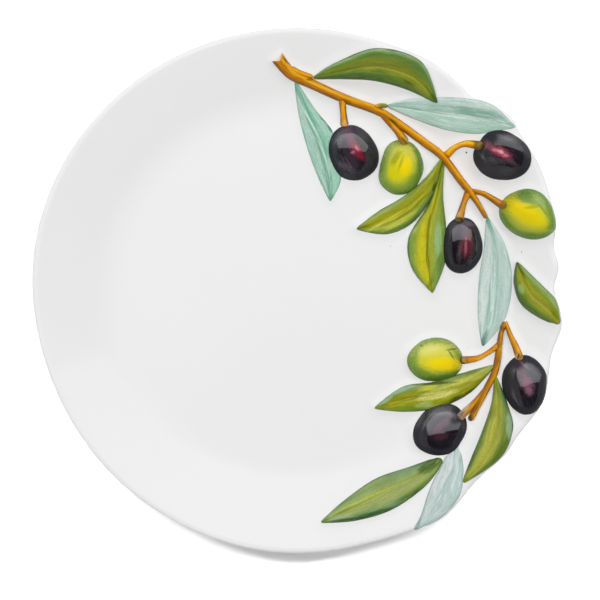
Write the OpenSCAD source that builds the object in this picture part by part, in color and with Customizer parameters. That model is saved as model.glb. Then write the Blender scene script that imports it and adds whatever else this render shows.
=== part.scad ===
// Olive dish: a coupe dish with two olive sprigs luted to it in relief.

/* [Dish] */
// Diameter of the round edge
dish_d = 260; // [230:1:320]
// Diameter of the flat well
well_d = 168; // [130:1:190]
// Radius of the bend between the well and the rim
bend_r = 40; // [20:1:60]
// Slope of the rim in degrees
rim_angle = 25; // [15:1:35]
// Thickness of the wall
wall = 5; // [3:0.5:8]
// Width of the bevels on the lip
lip_bevel = 1.2; // [0.4:0.1:1.4]

/* [Foot ring] */
// Outer diameter of the face that it stands on
foot_d = 144; // [100:1:160]
// Width of that face
foot_w = 6; // [3:0.5:10]
// Height of the ring below the dish
foot_h = 4; // [2:0.5:8]
// How far each flank of the ring spreads upward
foot_spread = 1.5; // [0.5:0.5:3]

/* [Relief] */
// Height of a leaf at its edge
leaf_edge_h = 1.2; // [0.8:0.1:3]
// How far a leaf swells above its edge
leaf_crown_h = 2.6; // [1.2:0.1:5]
// Depth of the groove along a leaf's midrib
midrib_depth = 0.9; // [0.2:0.1:1.2]
// Height of an olive above the dish
olive_h = 10; // [6:0.5:14]
// How far the middle of an olive lies below the surface
olive_sink = 1.5; // [0.5:0.5:3]
// Height of a branch
branch_h = 3.6; // [1.5:0.1:6]
// Height of a fruit stalk
stalk_h = 3; // [1.2:0.1:5]
// Height of a stem at its edge
stem_edge_h = 0.7; // [0.4:0.1:1]
// Depth of the notch in the cut end of the upper branch
notch_depth = 2.4; // [1:0.1:4]
// Thickness of the slip joint round each relief piece
slip_gap = 0.1; // [0.05:0.05:0.3]

/* [Hidden] */
$fn = 96;
dish_r = dish_d / 2;
well_r = well_d / 2;
foot_r = foot_d / 2;
floor_top = foot_h + wall;
bend_end_r = well_r + bend_r * sin(rim_angle);
bend_end_z = floor_top + bend_r * (1 - cos(rim_angle));

// The outline waves in and out where the sprigs reach the edge: angle, share of the radius
rim_wave_shares = [
    [-75, 1.00], [-66, 1.01], [-57.5, 1.03], [-47, 0.997], [-38, 1.011], [-32.5, 1.008], [-24, 1.028],
    [-14.5, 1.001], [-7, 1.018], [0, 0.982], [5, 1.001], [9.5, 0.994], [15, 1.022], [20, 1.028],
    [28, 1.039], [34.5, 1.038], [39, 1.048], [44, 1.027], [48, 0.995], [51, 1.00], [60, 1.01],
    [75, 1.001], [110, 1.002], [148, 1.013], [172, 1.012], [200, 0.995], [235, 0.994], [262, 1.00],
    [285, 1.00],
];
// Steps of the outline between two of its points
rim_steps = 5;
// The widest reach of the wavy outline
reach_share = 1.08;
reach_r = dish_r * reach_share;
reach_z = bend_end_z + (reach_r - bend_end_r) * tan(rim_angle);
cut_h = reach_z + olive_h + wall;
// Angle of the lip's bevels to its face
bevel_angle = 45;

// Picture coordinates of the dish: centre across, centre down, radius
picture_dish_pixels = [297, 290.3, 262.5];

leaf_names = [
    "leaf_top_left", "leaf_top", "leaf_top_right", "leaf_center_left", "leaf_center", "leaf_middle",
    "leaf_rim", "leaf_lower_left", "leaf_lower_right", "leaf_bottom", "leaf_bottom_rim",
];
// Left and right edge of each leaf, walking from its base to its tip
leaf_edge_pixels = [
    [
        [[296.5, 79.5], [314, 107], [334, 141], [342, 175], [332, 200]],
        [[294, 80.5], [300, 113], [309, 149], [319, 177], [329, 200]],
    ],
    [
        [[314, 75], [338, 61], [378, 48], [421, 61.5], [438, 101]],
        [[314, 79], [345, 79], [376, 81], [408, 90], [436, 103.5]],
    ],
    [
        [[387, 104], [412, 98], [452, 97], [490, 104], [515, 126]],
        [[387, 107], [415, 119], [449, 130.5], [483, 134], [514, 128.5]],
    ],
    [
        [[443.5, 159.5], [435, 192], [415, 221], [388, 234], [358, 230]],
        [[441, 158], [424, 179], [402, 197], [378, 211], [357, 227]],
    ],
    [
        [[445.5, 160], [444, 195], [447, 228], [446, 262], [434, 293]],
        [[443, 160.5], [430, 201], [409, 237], [412, 268], [431, 292]],
    ],
    [
        [[489, 216.5], [506, 245], [513, 280], [506, 319], [485, 346.5]],
        [[486.5, 217.5], [484, 245], [479, 285], [478.5, 318], [482, 345]],
    ],
    [
        [[556.5, 325.5], [539, 318], [521, 304], [514, 283], [516, 263]],
        [[561, 318], [556, 300], [543, 286], [531, 274], [519, 262]],
    ],
    [
        [[495, 367.5], [470, 394], [438, 409], [405, 412.5], [376, 410]],
        [[493.5, 364.5], [463, 373], [433, 382], [403, 387], [375, 407]],
    ],
    [
        [[497.5, 376.5], [508, 404], [513, 429], [500, 459], [465, 483]],
        [[494.5, 377.5], [491, 405], [481, 434], [471, 458], [462, 481]],
    ],
    [
        [[444, 463], [425, 487], [392, 510], [356, 521], [322, 523.5]],
        [[437, 457], [410, 467], [376, 479], [345, 500], [321, 521]],
    ],
    [
        [[460, 446], [464, 472], [459, 497], [441, 517.5], [417, 530]],
        [[450, 449], [437, 472], [428, 493], [421, 514], [413, 529]],
    ],
];
// Rows of points along a leaf, and where the points lie from one edge to the other
leaf_steps = 16;
leaf_across_shares = [0, 0.07, 0.2, 0.36, 0.5, 0.64, 0.8, 0.93, 1];
// How squarely a leaf's crown falls to its edges
leaf_crown_power = 2.4;
leaf_colors = [
    "darkseagreen", "olivedrab", "darkseagreen", "olivedrab", "olivedrab", "darkseagreen",
    "olivedrab", "olivedrab", "olivedrab", "olivedrab", "lightgray",
];
// Which olives, leaves and stems lie over each leaf
leaf_under_olives = [[0], [], [2], [1], [3], [3, 4], [], [5, 7], [6], [7], [7]];
leaf_under_leaves = [[], [], [1], [], [3], [6], [], [], [], [], [8, 9]];
leaf_under_stems = [[0], [0, 10], [0, 11], [0], [0], [0, 1], [], [1, 7, 9], [1], [], [1, 9]];

olive_names = [
    "olive_top_left", "olive_top_green", "olive_top_right", "olive_center", "olive_right_green",
    "olive_lower_green", "olive_lower_right", "olive_bottom",
];
// Centre of each olive
olive_center_pixels = [
    [354, 152], [402, 167], [502.5, 155.5], [463.5, 245], [528, 215], [436, 360], [524.5, 385], [440.5, 430],
];
// Length and width of each olive
olive_size_pixels = [
    [58, 50], [58, 45], [60, 47], [58, 41.5], [58, 49], [57, 45], [61, 43], [60, 51],
];
// Direction of each olive's length in degrees
olive_angle = [-74, 83, -25, 85, -25, 0, -82, 36];
olive_colors = [
    "dimgray", "yellowgreen", "dimgray", "dimgray", "yellowgreen", "yellowgreen", "dimgray", "dimgray",
];
// Depth of the block that trims the olives to the dish, and its steps over the bend
seat_depth = (olive_h + olive_sink) * 3;
seat_steps = 8;
// Facets round an olive where it is shown as a mesh
olive_facets = 56;

stem_names = [
    "upper_branch", "lower_branch", "stalk_top_left", "stalk_top_green", "stalk_top_right", "stalk_center",
    "stalk_right_green", "stalk_lower_green", "stalk_lower_right", "stalk_bottom", "twig_top", "bud_top",
];
// The first of them are branches
branch_count = 2;
// Points along the middle of each branch, stalk and twig
stem_spine_pixels = [
    [
        [277, 57], [291, 73], [311, 82.8], [342, 96.8], [375, 108.8], [394, 119.5], [425, 142],
        [443, 156], [462, 181], [471, 192], [479, 204], [487, 218],
    ],
    [[505.5, 322], [502, 332], [500, 345], [498, 360], [495, 373], [488, 387], [479, 404], [470, 421]],
    [[342.5, 98], [343.5, 112], [345, 126]],
    [[384, 114], [392, 124], [399, 132], [405, 141]],
    [[447, 155], [455, 147.5], [466, 143.5], [480, 145.5]],
    [[469, 192], [464, 204], [460, 219]],
    [[470, 190], [484, 193.5], [495, 200], [505, 206.5]],
    [[499, 345], [490, 352], [478, 358.5], [464, 360.5]],
    [[505.5, 321.5], [511, 336], [516, 347], [519.5, 357]],
    [[490, 383], [479, 398], [470, 408], [461, 417]],
    [[296, 76], [304, 75], [314, 77]],
    [[376, 107], [381, 105], [388, 105.5]],
];
// Widths of each, evenly spread from its start to its end
stem_width_pixels = [
    [13, 10.5, 9, 8.5, 8, 7, 4.5], [4.5, 7, 4.5], [8, 6.5, 9], [8, 6.5, 10], [8, 6, 9.5], [8, 6, 9.5],
    [5, 6, 9], [6, 5, 8.5], [4, 6, 8.5], [4, 6, 8.5], [8, 6, 5], [6, 5, 4.5],
];
// Rows of points between two points of a stem, and where the points lie from edge to edge
stem_steps = 3;
stem_across_shares = [0, 0.15, 0.5, 0.85, 1];
// Which olives and which branches cut each stem
stem_under_olives = [[], [7], [0], [1], [2], [3], [4], [5], [6], [7], [], []];
stem_under_stems = [[], [], [0], [0], [0], [0], [0], [1], [1], [1], [0], [0]];

// Width of the notch in the upper branch's cut end, as a share of that end
notch_share = 0.8;

// Plan point of a picture point, and plan length of a picture length
function plan_length(pixels) = pixels * dish_r / picture_dish_pixels[2];
function plan_point(p) = [
    plan_length(p[0] - picture_dish_pixels[0]),
    plan_length(picture_dish_pixels[1] - p[1]),
];
function plan_points(list) = [for (p = list) plan_point(p)];

// Smooth curve through a list of points or values, with t running from 0 to 1
function blend(a, b, c, d, u) =
    (b * 2 + (c - a) * u + (a * 2 - b * 5 + c * 4 - d) * u ^ 2 + (b * 3 - a - c * 3 + d) * u ^ 3) / 2;
function curve(list, t) =
    let (
        last = len(list) - 1,
        i = min(floor(t * last), last - 1)
    )
    blend(list[max(i - 1, 0)], list[i], list[i + 1], list[min(i + 2, last)], t * last - i);

// Height and slope of the dish's upper surface at a radius
function surface_z(r) =
    r < well_r ? floor_top
    : r < bend_end_r ? floor_top + bend_r - sqrt(bend_r ^ 2 - (r - well_r) ^ 2)
    : bend_end_z + (r - bend_end_r) * tan(rim_angle);
function surface_slope(r) =
    r < well_r ? 0
    : r < bend_end_r ? (r - well_r) / sqrt(bend_r ^ 2 - (r - well_r) ^ 2)
    : tan(rim_angle);

// Rows of a leaf or a stem: each row holds its left and its right point
function leaf_rows(i) =
    let (
        left = plan_points(leaf_edge_pixels[i][0]),
        right = plan_points(leaf_edge_pixels[i][1])
    )
    [for (k = [0 : leaf_steps]) [curve(left, k / leaf_steps), curve(right, k / leaf_steps)]];
function stem_rows(i) =
    let (
        spine = plan_points(stem_spine_pixels[i]),
        widths = [for (w = stem_width_pixels[i]) plan_length(w)],
        steps = stem_steps * (len(spine) - 1)
    )
    [
        for (k = [0 : steps])
            let (
                t = k / steps,
                along = curve(spine, min(t + 1 / steps, 1)) - curve(spine, max(t - 1 / steps, 0)),
                side = [-along.y, along.x] / norm(along) * curve(widths, t) / 2
            )
            [curve(spine, t) + side, curve(spine, t) - side]
    ];

// Outline of a row list, grown on all sides
function grown_outline(rows, grow) =
    let (
        last = len(rows) - 1,
        middle = [for (r = rows) (r[0] + r[1]) / 2],
        start = (middle[0] - middle[1]) / norm(middle[0] - middle[1]),
        end = (middle[last] - middle[last - 1]) / norm(middle[last] - middle[last - 1]),
        ends = [for (k = [0 : last]) k == 0 ? start * grow : k == last ? end * grow : [0, 0]],
        sides = [for (r = rows) (r[0] - r[1]) / norm(r[0] - r[1]) * grow]
    )
    concat(
        [for (k = [0 : last]) rows[k][0] + sides[k] + ends[k]],
        [for (k = [last : -1 : 0]) rows[k][1] - sides[k] + ends[k]]
    );

// Closed solid over rows of points, flat to the dish below and crowned by top(t, s) above
module relief(rows, across, top) {
    count = len(across);
    last = len(rows) - 1;
    end = count - 1;
    points = [
        for (k = [0 : last], under = [0, 1], s = across)
            let (p = rows[k][0] * (1 - s) + rows[k][1] * s)
            [p.x, p.y, surface_z(norm(p)) + (under == 1 ? slip_gap : top(k / last, s))]
    ];
    at = function (k, under, j) (k * 2 + under) * count + j;
    skin = [
        for (k = [0 : last - 1], j = [0 : end - 1]) each [
            [at(k, 0, j), at(k + 1, 0, j), at(k + 1, 0, j + 1)],
            [at(k, 0, j), at(k + 1, 0, j + 1), at(k, 0, j + 1)],
            [at(k, 1, j), at(k + 1, 1, j + 1), at(k + 1, 1, j)],
            [at(k, 1, j), at(k, 1, j + 1), at(k + 1, 1, j + 1)],
        ]
    ];
    sides = [
        for (k = [0 : last - 1]) each [
            [at(k + 1, 0, 0), at(k, 0, 0), at(k, 1, 0)],
            [at(k + 1, 0, 0), at(k, 1, 0), at(k + 1, 1, 0)],
            [at(k, 0, end), at(k + 1, 0, end), at(k + 1, 1, end)],
            [at(k, 0, end), at(k + 1, 1, end), at(k, 1, end)],
        ]
    ];
    ends = [
        for (j = [0 : end - 1]) each [
            [at(0, 0, j), at(0, 0, j + 1), at(0, 1, j + 1)],
            [at(0, 0, j), at(0, 1, j + 1), at(0, 1, j)],
            [at(last, 0, j), at(last, 1, j + 1), at(last, 0, j + 1)],
            [at(last, 0, j), at(last, 1, j), at(last, 1, j + 1)],
        ]
    ];
    polyhedron(points, concat(skin, sides, ends));
}

// Section of the dish's wall: flat well, bend and straight rim
module coupe_section() {
    far = (bend_r + wall) * 2;
    translate([0, foot_h])
        square([well_r, wall]);
    translate([well_r, floor_top + bend_r]) {
        intersection() {
            difference() {
                circle(bend_r + wall);
                circle(bend_r);
            }
            polygon([[0, 0], [0, -far], [far * tan(rim_angle), -far]]);
        }
        rotate(rim_angle)
            translate([0, -bend_r - wall])
                square([(reach_r - bend_end_r) / cos(rim_angle) + wall, wall]);
    }
}

module foot_section() {
    polygon([
        [foot_r - foot_w, 0],
        [foot_r, 0],
        [foot_r + foot_spread, foot_h + wall / 2],
        [foot_r - foot_w - foot_spread, foot_h + wall / 2],
    ]);
}

// The wavy outline, at a share of its full size
module rim_outline(share) {
    last = len(rim_wave_shares) - 1;
    steps = last * rim_steps;
    polygon([
        for (k = [0 : steps - 1])
            let (p = curve(rim_wave_shares, k / steps))
            dish_r * share * p[1] * [cos(p[0]), sin(p[0])]
    ]);
}

// Tapering block inside the outline. Its flank leans in by tilt degrees and crosses the lip's face
// at a distance up from the lower corner.
module rim_block(up, tilt) {
    corner_z = surface_z(dish_r) - wall / cos(rim_angle);
    base_z = corner_z + up * cos(rim_angle) - up * sin(rim_angle) / tan(tilt);
    low_share = 1 + base_z * tan(tilt) / dish_r;
    high_share = 1 - (cut_h - base_z) * tan(tilt) / dish_r;
    linear_extrude(height = cut_h, scale = high_share / low_share)
        rim_outline(low_share);
}

module dish() {
    color("whitesmoke")
        intersection() {
            rotate_extrude() {
                coupe_section();
                foot_section();
            }
            rim_block(0, rim_angle);
            rim_block(wall - lip_bevel, rim_angle + bevel_angle);
            rim_block(lip_bevel, rim_angle - bevel_angle);
        }
}

module leaf_cut(i) {
    linear_extrude(height = cut_h)
        polygon(grown_outline(leaf_rows(i), slip_gap));
}

module stem_cut(i) {
    linear_extrude(height = cut_h)
        polygon(grown_outline(stem_rows(i), slip_gap));
}

module olive_cut(i) {
    grow = [slip_gap, slip_gap];
    half = plan_length(olive_size_pixels[i]) / 2 + grow;
    translate(plan_point(olive_center_pixels[i]))
        linear_extrude(height = cut_h)
            rotate(olive_angle[i])
                scale(half)
                    circle(1);
}

// Notch between the two prongs of the upper branch's cut end
module notch_cut() {
    rows = stem_rows(0);
    middle = (rows[0][0] + rows[0][1]) / 2;
    inward = (rows[1][0] + rows[1][1]) / 2 - middle;
    deep = inward / norm(inward) * notch_depth;
    left = middle + (rows[0][0] - middle) * notch_share;
    right = middle + (rows[0][1] - middle) * notch_share;
    linear_extrude(height = cut_h)
        polygon([left - deep, left, middle + deep, right, right - deep]);
}

module leaf(i) {
    swell = function (t, s) leaf_crown_h * sqrt(sin(180 * t)) * (1 - abs(2 * s - 1) ^ leaf_crown_power);
    groove = function (t, s) s == 0.5 ? midrib_depth * sqrt(sin(180 * t)) : 0;
    color(leaf_colors[i])
        difference() {
            relief(
                leaf_rows(i),
                leaf_across_shares,
                function (t, s) leaf_edge_h + swell(t, s) - groove(t, s)
            );
            for (k = leaf_under_olives[i])
                olive_cut(k);
            for (k = leaf_under_leaves[i])
                leaf_cut(k);
            for (k = leaf_under_stems[i])
                stem_cut(k);
        }
}

// Block below the slip joint, which trims the olives to the dish
module olive_seat() {
    bend_rs = [for (k = [seat_steps : -1 : 0]) well_r + (bend_end_r - well_r) * k / seat_steps];
    top_rs = concat([reach_r], bend_rs, [0]);
    rotate_extrude()
        polygon(concat(
            [[0, floor_top - seat_depth], [reach_r, floor_top - seat_depth]],
            [for (r = top_rs) [r, surface_z(r) + slip_gap]]
        ));
}

// An olive leans with the surface below it
module olive(i) {
    middle = plan_point(olive_center_pixels[i]);
    half = plan_length(olive_size_pixels[i]) / 2;
    lean = surface_slope(norm(middle)) * middle / norm(middle);
    color(olive_colors[i])
        difference() {
            multmatrix([
                [1, 0, 0, middle.x],
                [0, 1, 0, middle.y],
                [lean.x, lean.y, 1, surface_z(norm(middle)) - olive_sink],
            ])
                rotate(olive_angle[i])
                    scale([half[0], half[1], olive_h + olive_sink])
                        sphere(1, $fn = olive_facets);
            olive_seat();
        }
}

module stem(i) {
    height = i < branch_count ? branch_h : stalk_h;
    color("goldenrod")
        difference() {
            relief(
                stem_rows(i),
                stem_across_shares,
                function (t, s) stem_edge_h + (height - stem_edge_h) * sqrt(1 - (2 * s - 1) ^ 2)
            );
            for (k = stem_under_olives[i])
                olive_cut(k);
            for (k = stem_under_stems[i])
                stem_cut(k);
            if (i == 0)
                notch_cut();
        }
}

dish();
for (i = [0 : len(leaf_names) - 1]) leaf(i);
for (i = [0 : len(olive_names) - 1]) olive(i);
for (i = [0 : len(stem_names) - 1]) stem(i);
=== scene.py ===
import bpy
import math
import numpy as np
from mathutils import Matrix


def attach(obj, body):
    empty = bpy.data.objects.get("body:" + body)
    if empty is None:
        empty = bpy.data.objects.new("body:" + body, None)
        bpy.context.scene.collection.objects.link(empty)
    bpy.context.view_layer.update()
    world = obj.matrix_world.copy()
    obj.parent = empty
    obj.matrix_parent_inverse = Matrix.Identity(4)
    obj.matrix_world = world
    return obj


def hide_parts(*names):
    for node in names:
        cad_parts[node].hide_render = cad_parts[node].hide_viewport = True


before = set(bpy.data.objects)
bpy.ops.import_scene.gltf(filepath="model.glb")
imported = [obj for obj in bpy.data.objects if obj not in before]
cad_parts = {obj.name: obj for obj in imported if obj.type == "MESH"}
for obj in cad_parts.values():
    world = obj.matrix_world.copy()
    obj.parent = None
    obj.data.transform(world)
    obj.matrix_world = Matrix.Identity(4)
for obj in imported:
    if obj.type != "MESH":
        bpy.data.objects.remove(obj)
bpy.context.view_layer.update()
scene = bpy.context.scene
print("frame loaded:", len(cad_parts), "nodes")

# the dish's real form in metres, as in the CAD model
dishShape = {
    "radius": 0.130, "wellRadius": 0.084, "bendRadius": 0.040, "rimSlope": math.radians(25),
    "wall": 0.005, "footHeight": 0.004, "underCenter": 0.0043, "lipRound": 0.0032, "edgeRound": 0.0009,
    "lipTurn": math.radians(20), "lipCover": math.radians(75), "bareBelow": 0.0002,
    "wave": [  # the outline: degrees, share of the radius
        (-75, 1.00), (-66, 1.01), (-57.5, 1.03), (-47, 0.997), (-38, 1.011), (-32.5, 1.008), (-24, 1.028),
        (-14.5, 1.001), (-7, 1.018), (0, 0.982), (5, 1.001), (9.5, 0.994), (15, 1.022), (20, 1.028),
        (28, 1.039), (34.5, 1.038), (39, 1.048), (44, 1.027), (48, 0.995), (51, 1.00), (60, 1.01),
        (75, 1.001), (110, 1.002), (148, 1.013), (172, 1.012), (200, 0.995), (235, 0.994), (262, 1.00), (285, 1.00),
    ],
    "footProfile": [  # underside across the foot ring: radius and height in mm
        (80, 4.0), (77.5, 3.98), (75.6, 3.75), (74.4, 3.1), (73.6, 2.2), (73.0, 1.2), (72.4, 0.5),
        (71.7, 0.12), (71.0, 0), (67.0, 0), (66.3, 0.12), (65.6, 0.5), (65.0, 1.2), (64.4, 2.2),
        (63.6, 3.1), (62.4, 3.75), (60.5, 3.98), (50, 4.0), (30, 4.15), (12, 4.25),
    ],
}
floorTop = dishShape["footHeight"] + dishShape["wall"]
bendEnd = dishShape["wellRadius"] + dishShape["bendRadius"] * math.sin(dishShape["rimSlope"])
bendEndHeight = floorTop + dishShape["bendRadius"] * (1 - math.cos(dishShape["rimSlope"]))

# the picture's square frame laid on the dish: centre of the dish and its radius in picture points
picture = {"centerAcross": 297.0, "centerDown": 290.3, "radius": 262.5, "width": 600.0}

# camera straight above, far off, with the picture's framing at rim height
cameraSetup = {"height": 3.0, "level": 0.024, "sensor": 36.0, "farEnd": 60.0}


def planLength(points):
    return np.asarray(points, float) * dishShape["radius"] / picture["radius"]


def planPoints(points):
    points = np.asarray(points, float)
    across = points[..., 0] - picture["centerAcross"]
    up = picture["centerDown"] - points[..., 1]
    return planLength(np.stack([across, up], -1))


def makeCamera():
    center = planPoints([picture["width"] / 2, picture["width"] / 2])
    wide = planLength(picture["width"])
    data = bpy.data.cameras.new("pictureCamera")
    data.sensor_fit = "HORIZONTAL"
    data.sensor_width = cameraSetup["sensor"]
    data.lens = cameraSetup["sensor"] * (cameraSetup["height"] - cameraSetup["level"]) / float(wide)
    data.clip_end = cameraSetup["farEnd"]
    camera = bpy.data.objects.new("pictureCamera", data)
    camera.location = (center[0], center[1], cameraSetup["height"])
    scene.collection.objects.link(camera)
    scene.camera = camera


makeCamera()
print("camera placed")


# curves, heights and distances that all pieces use
def throughPoints(points, t):  # smooth curve through points, t from 0 to 1
    points = np.asarray(points, float)
    last = len(points) - 1
    t = np.asarray(t, float) * last
    i = np.clip(np.floor(t).astype(int), 0, last - 1)
    u = t - i
    if points.ndim == 2:
        u = u[:, None]
    a, b = points[np.maximum(i - 1, 0)], points[i]
    c, d = points[i + 1], points[np.minimum(i + 2, last)]
    return (2 * b + (c - a) * u + (2 * a - 5 * b + 4 * c - d) * u ** 2 + (3 * b - a - 3 * c + d) * u ** 3) / 2


def surfaceHeight(r):  # upper surface of the bare dish
    bend = dishShape["bendRadius"]
    out = np.clip(r - dishShape["wellRadius"], 0, bendEnd - dishShape["wellRadius"])
    bent = floorTop + bend - np.sqrt(bend ** 2 - out ** 2)
    return np.where(r < bendEnd, bent, bendEndHeight + (r - bendEnd) * math.tan(dishShape["rimSlope"]))


def surfaceSlope(r):
    bend = dishShape["bendRadius"]
    out = min(max(r - dishShape["wellRadius"], 0), bendEnd - dishShape["wellRadius"])
    return out / math.sqrt(bend ** 2 - out ** 2)


def rimRadius(angles):  # wavy outline, angles in degrees
    walk = throughPoints(dishShape["wave"], np.linspace(0, 1, 1201))
    first = dishShape["wave"][0][0]
    return dishShape["radius"] * np.interp((angles - first) % 360 + first, walk[:, 0], walk[:, 1])


def lipStep(turn):  # way out and up along the lip, to where it faces turn away from straight up
    slope, limit = dishShape["rimSlope"], dishShape["lipTurn"]
    first, rest = np.clip(turn, -slope, limit), np.clip(turn, limit, math.pi / 2)
    soft, sharp = dishShape["lipRound"], dishShape["edgeRound"]
    return (soft * (np.sin(first) + math.sin(slope)) + sharp * (np.sin(rest) - math.sin(limit)),
            soft * (np.cos(first) - math.cos(slope)) + sharp * (np.cos(rest) - math.cos(limit)))


def dishTop(plan):  # upper surface with the rounded lip
    out, up = lipStep(np.linspace(-dishShape["rimSlope"], dishShape["lipCover"], 80))
    start = rimRadius(np.degrees(np.arctan2(plan[..., 1], plan[..., 0]))) - lipStep(math.pi / 2)[0]
    r = np.linalg.norm(plan, axis=-1)
    return surfaceHeight(np.minimum(r, start)) + np.interp(r - start, out, up)


def gapToOutline(points, outline):  # distance to a closed outline, negative inside it
    start, end = outline, np.roll(outline, -1, 0)
    along = end - start
    away = points[:, None, :] - start[None]
    share = np.clip((away * along).sum(2) / np.maximum((along ** 2).sum(1), 1e-16), 0, 1)
    gap = np.linalg.norm(away - share[..., None] * along, axis=2).min(1)
    x, y = points[:, 0:1], points[:, 1:2]
    spans = (start[:, 1] > y) != (end[:, 1] > y)
    rise = np.where(along[:, 1] == 0, 1e-16, along[:, 1])
    crossing = start[:, 0] + (y - start[:, 1]) * along[:, 0] / rise
    inside = (spans & (x < crossing)).sum(1) % 2 == 1
    return np.where(inside, -gap, gap)


def smooth(low, high, value):
    t = np.clip((value - low) / (high - low), 0, 1)
    return t * t * (3 - 2 * t)


# outlines of the relief pieces, in picture points, left and right edge of each leaf from base to tip
leafEdges = {
    "leaf_top_left": (
        [[296.5, 79.5], [314.5, 107], [336, 136], [342, 175], [332, 200]],
        [[294, 80.5], [298.3, 113], [307.5, 149], [318, 177], [329, 200]]),
    "leaf_top": (
        [[314, 75], [338, 61], [378, 48], [421, 61.5], [438, 101]],
        [[314, 79], [345, 79], [376, 81], [408, 90], [436, 103.5]]),
    "leaf_top_right": (
        [[387, 104], [412, 98], [452, 97], [490, 104], [515, 126]],
        [[387, 107], [415, 119], [449, 130.5], [483, 134], [514, 128.5]]),
    "leaf_center_left": (
        [[443.5, 159.5], [435, 192], [415, 221], [388, 234], [358, 230]],
        [[441, 158], [424, 179], [402, 197], [378, 211], [357, 227]]),
    "leaf_center": (
        [[445.5, 160], [444, 195], [447, 228], [446, 262], [434, 293]],
        [[443, 160.5], [430, 201], [409, 237], [412, 268], [431, 292]]),
    "leaf_middle": (
        [[489, 216.5], [506, 245], [513, 280], [506, 319], [485, 346.5]],
        [[486.5, 217.5], [484, 245], [479, 285], [478.5, 318], [482, 345]]),
    "leaf_rim": (
        [[556.5, 325.5], [539, 318], [521, 304], [514, 283], [516, 263]],
        [[561, 318], [556, 300], [543, 286], [531, 274], [519, 262]]),
    "leaf_lower_left": (
        [[495, 367.5], [470, 394], [438, 409], [405, 412.5], [376, 410]],
        [[493.5, 364.5], [463, 373], [433, 382], [403, 387], [375, 407]]),
    "leaf_lower_right": (
        [[497.5, 376.5], [508, 404], [513, 429], [500, 459], [465, 483]],
        [[494.5, 377.5], [491, 405], [481, 434], [471, 458], [462, 481]]),
    "leaf_bottom": (
        [[444, 463], [425, 487], [392, 510], [356, 521], [322, 523.5]],
        [[437, 457], [410, 467], [376, 479], [345, 500], [321, 521]]),
    "leaf_bottom_rim": (
        [[460, 446], [464, 472], [459, 497], [441, 517.5], [417, 530]],
        [[450, 449], [437, 472], [428, 493], [421, 514], [413, 529]]),
}
# centre, length and width in picture points, direction of the length in degrees,
# then the outline's share of that ellipse every 30 degrees, counter-clockwise from the right
oliveForms = {
    "olive_top_left": (
        (354, 152), (58, 50), -74, (0.99, 0.92, 0.92, 0.97, 1.01, 1.03, 1.02, 0.99, 1.02, 0.98, 0.97, 1.02)),
    "olive_top_green": (
        (402, 167), (58, 45), 83, (0.99, 0.96, 0.97, 0.99, 1.02, 0.95, 0.98, 1.07, 1.00, 0.95, 0.96, 0.96)),
    "olive_top_right": (
        (502.5, 155.5), (60, 47), -25, (0.99, 0.98, 0.99, 1.03, 1.01, 0.91, 1.03, 1.09, 1.08, 1.01, 0.98, 0.98)),
    "olive_center": (
        (463.5, 245), (58, 41.5), 85, (0.99, 0.94, 0.96, 1.00, 1.04, 1.02, 1.00, 1.02, 1.03, 0.98, 0.98, 1.01)),
    "olive_right_green": (
        (528, 215), (58, 49), -25, (0.92, 0.95, 1.04, 1.05, 0.99, 1.02, 1.01, 0.96, 0.94, 0.96, 1.01, 1.04)),
    "olive_lower_green": (
        (436, 360), (57, 45), 0, (0.98, 0.97, 1.00, 0.99, 0.97, 0.95, 1.00, 1.01, 1.01, 0.96, 0.98, 1.01)),
    "olive_lower_right": (
        (524.5, 385), (61, 43), -82, (0.99, 1.09, 1.05, 1.01, 0.98, 1.03, 1.04, 1.02, 0.99, 0.99, 0.94, 0.94)),
    "olive_bottom": (
        (440.5, 430), (60, 51), 36, (0.95, 0.97, 0.99, 1.03, 1.02, 0.97, 0.98, 0.98, 0.95, 0.98, 1.02, 0.94)),
}
# spine points, widths spread evenly from start to end, and the olive that the stem carries
stemForms = {
    "upper_branch": ([
        [277, 57], [291, 73], [311, 82.8], [342, 96.8], [375, 108.8], [394, 119.5], [425, 142],
        [443, 156], [462, 181], [471, 192], [479, 204], [487, 218]], (13, 10.5, 9, 8.5, 8, 7, 4.5), None),
    "lower_branch": ([
        [505.5, 322], [502, 332], [500, 345], [498, 360], [495, 373], [488, 387], [479, 404],
        [470, 421]], (4.5, 7, 6.5), None),
    "stalk_top_left": ([[342.5, 98], [343.5, 112], [345, 126]], (8, 6.5, 9), "olive_top_left"),
    "stalk_top_green": ([[384, 114], [392, 124], [399, 132], [405, 141]], (8, 6.5, 10), "olive_top_green"),
    "stalk_top_right": ([[447, 155], [455, 147.5], [466, 143.5], [480, 145.5]], (8, 6, 9.5), "olive_top_right"),
    "stalk_center": ([[469, 192], [464, 204], [460, 219]], (8, 6, 9.5), "olive_center"),
    "stalk_right_green": ([[470, 190], [484, 193.5], [495, 200], [505, 206.5]], (5, 6, 9), "olive_right_green"),
    "stalk_lower_green": ([[499, 345], [490, 352], [478, 358.5], [464, 360.5]], (6, 5, 8.5), "olive_lower_green"),
    "stalk_lower_right": ([[505.5, 321.5], [511, 336], [516, 347], [519.5, 357]], (4, 6, 8.5), "olive_lower_right"),
    "stalk_bottom": ([[490, 383], [479, 398], [470, 408], [461, 417]], (4, 6, 8.5), "olive_bottom"),
    "twig_top": ([[291, 69.5], [301, 73.8], [313, 76.7]], (9, 7.5, 5.5), None),
    "bud_top": ([[376, 107], [381, 105], [388, 105.5]], (6, 5, 4.5), None),
}


def leafRows(name, t):
    left, right = leafEdges[name]
    return throughPoints(planPoints(left), t), throughPoints(planPoints(right), t)


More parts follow.
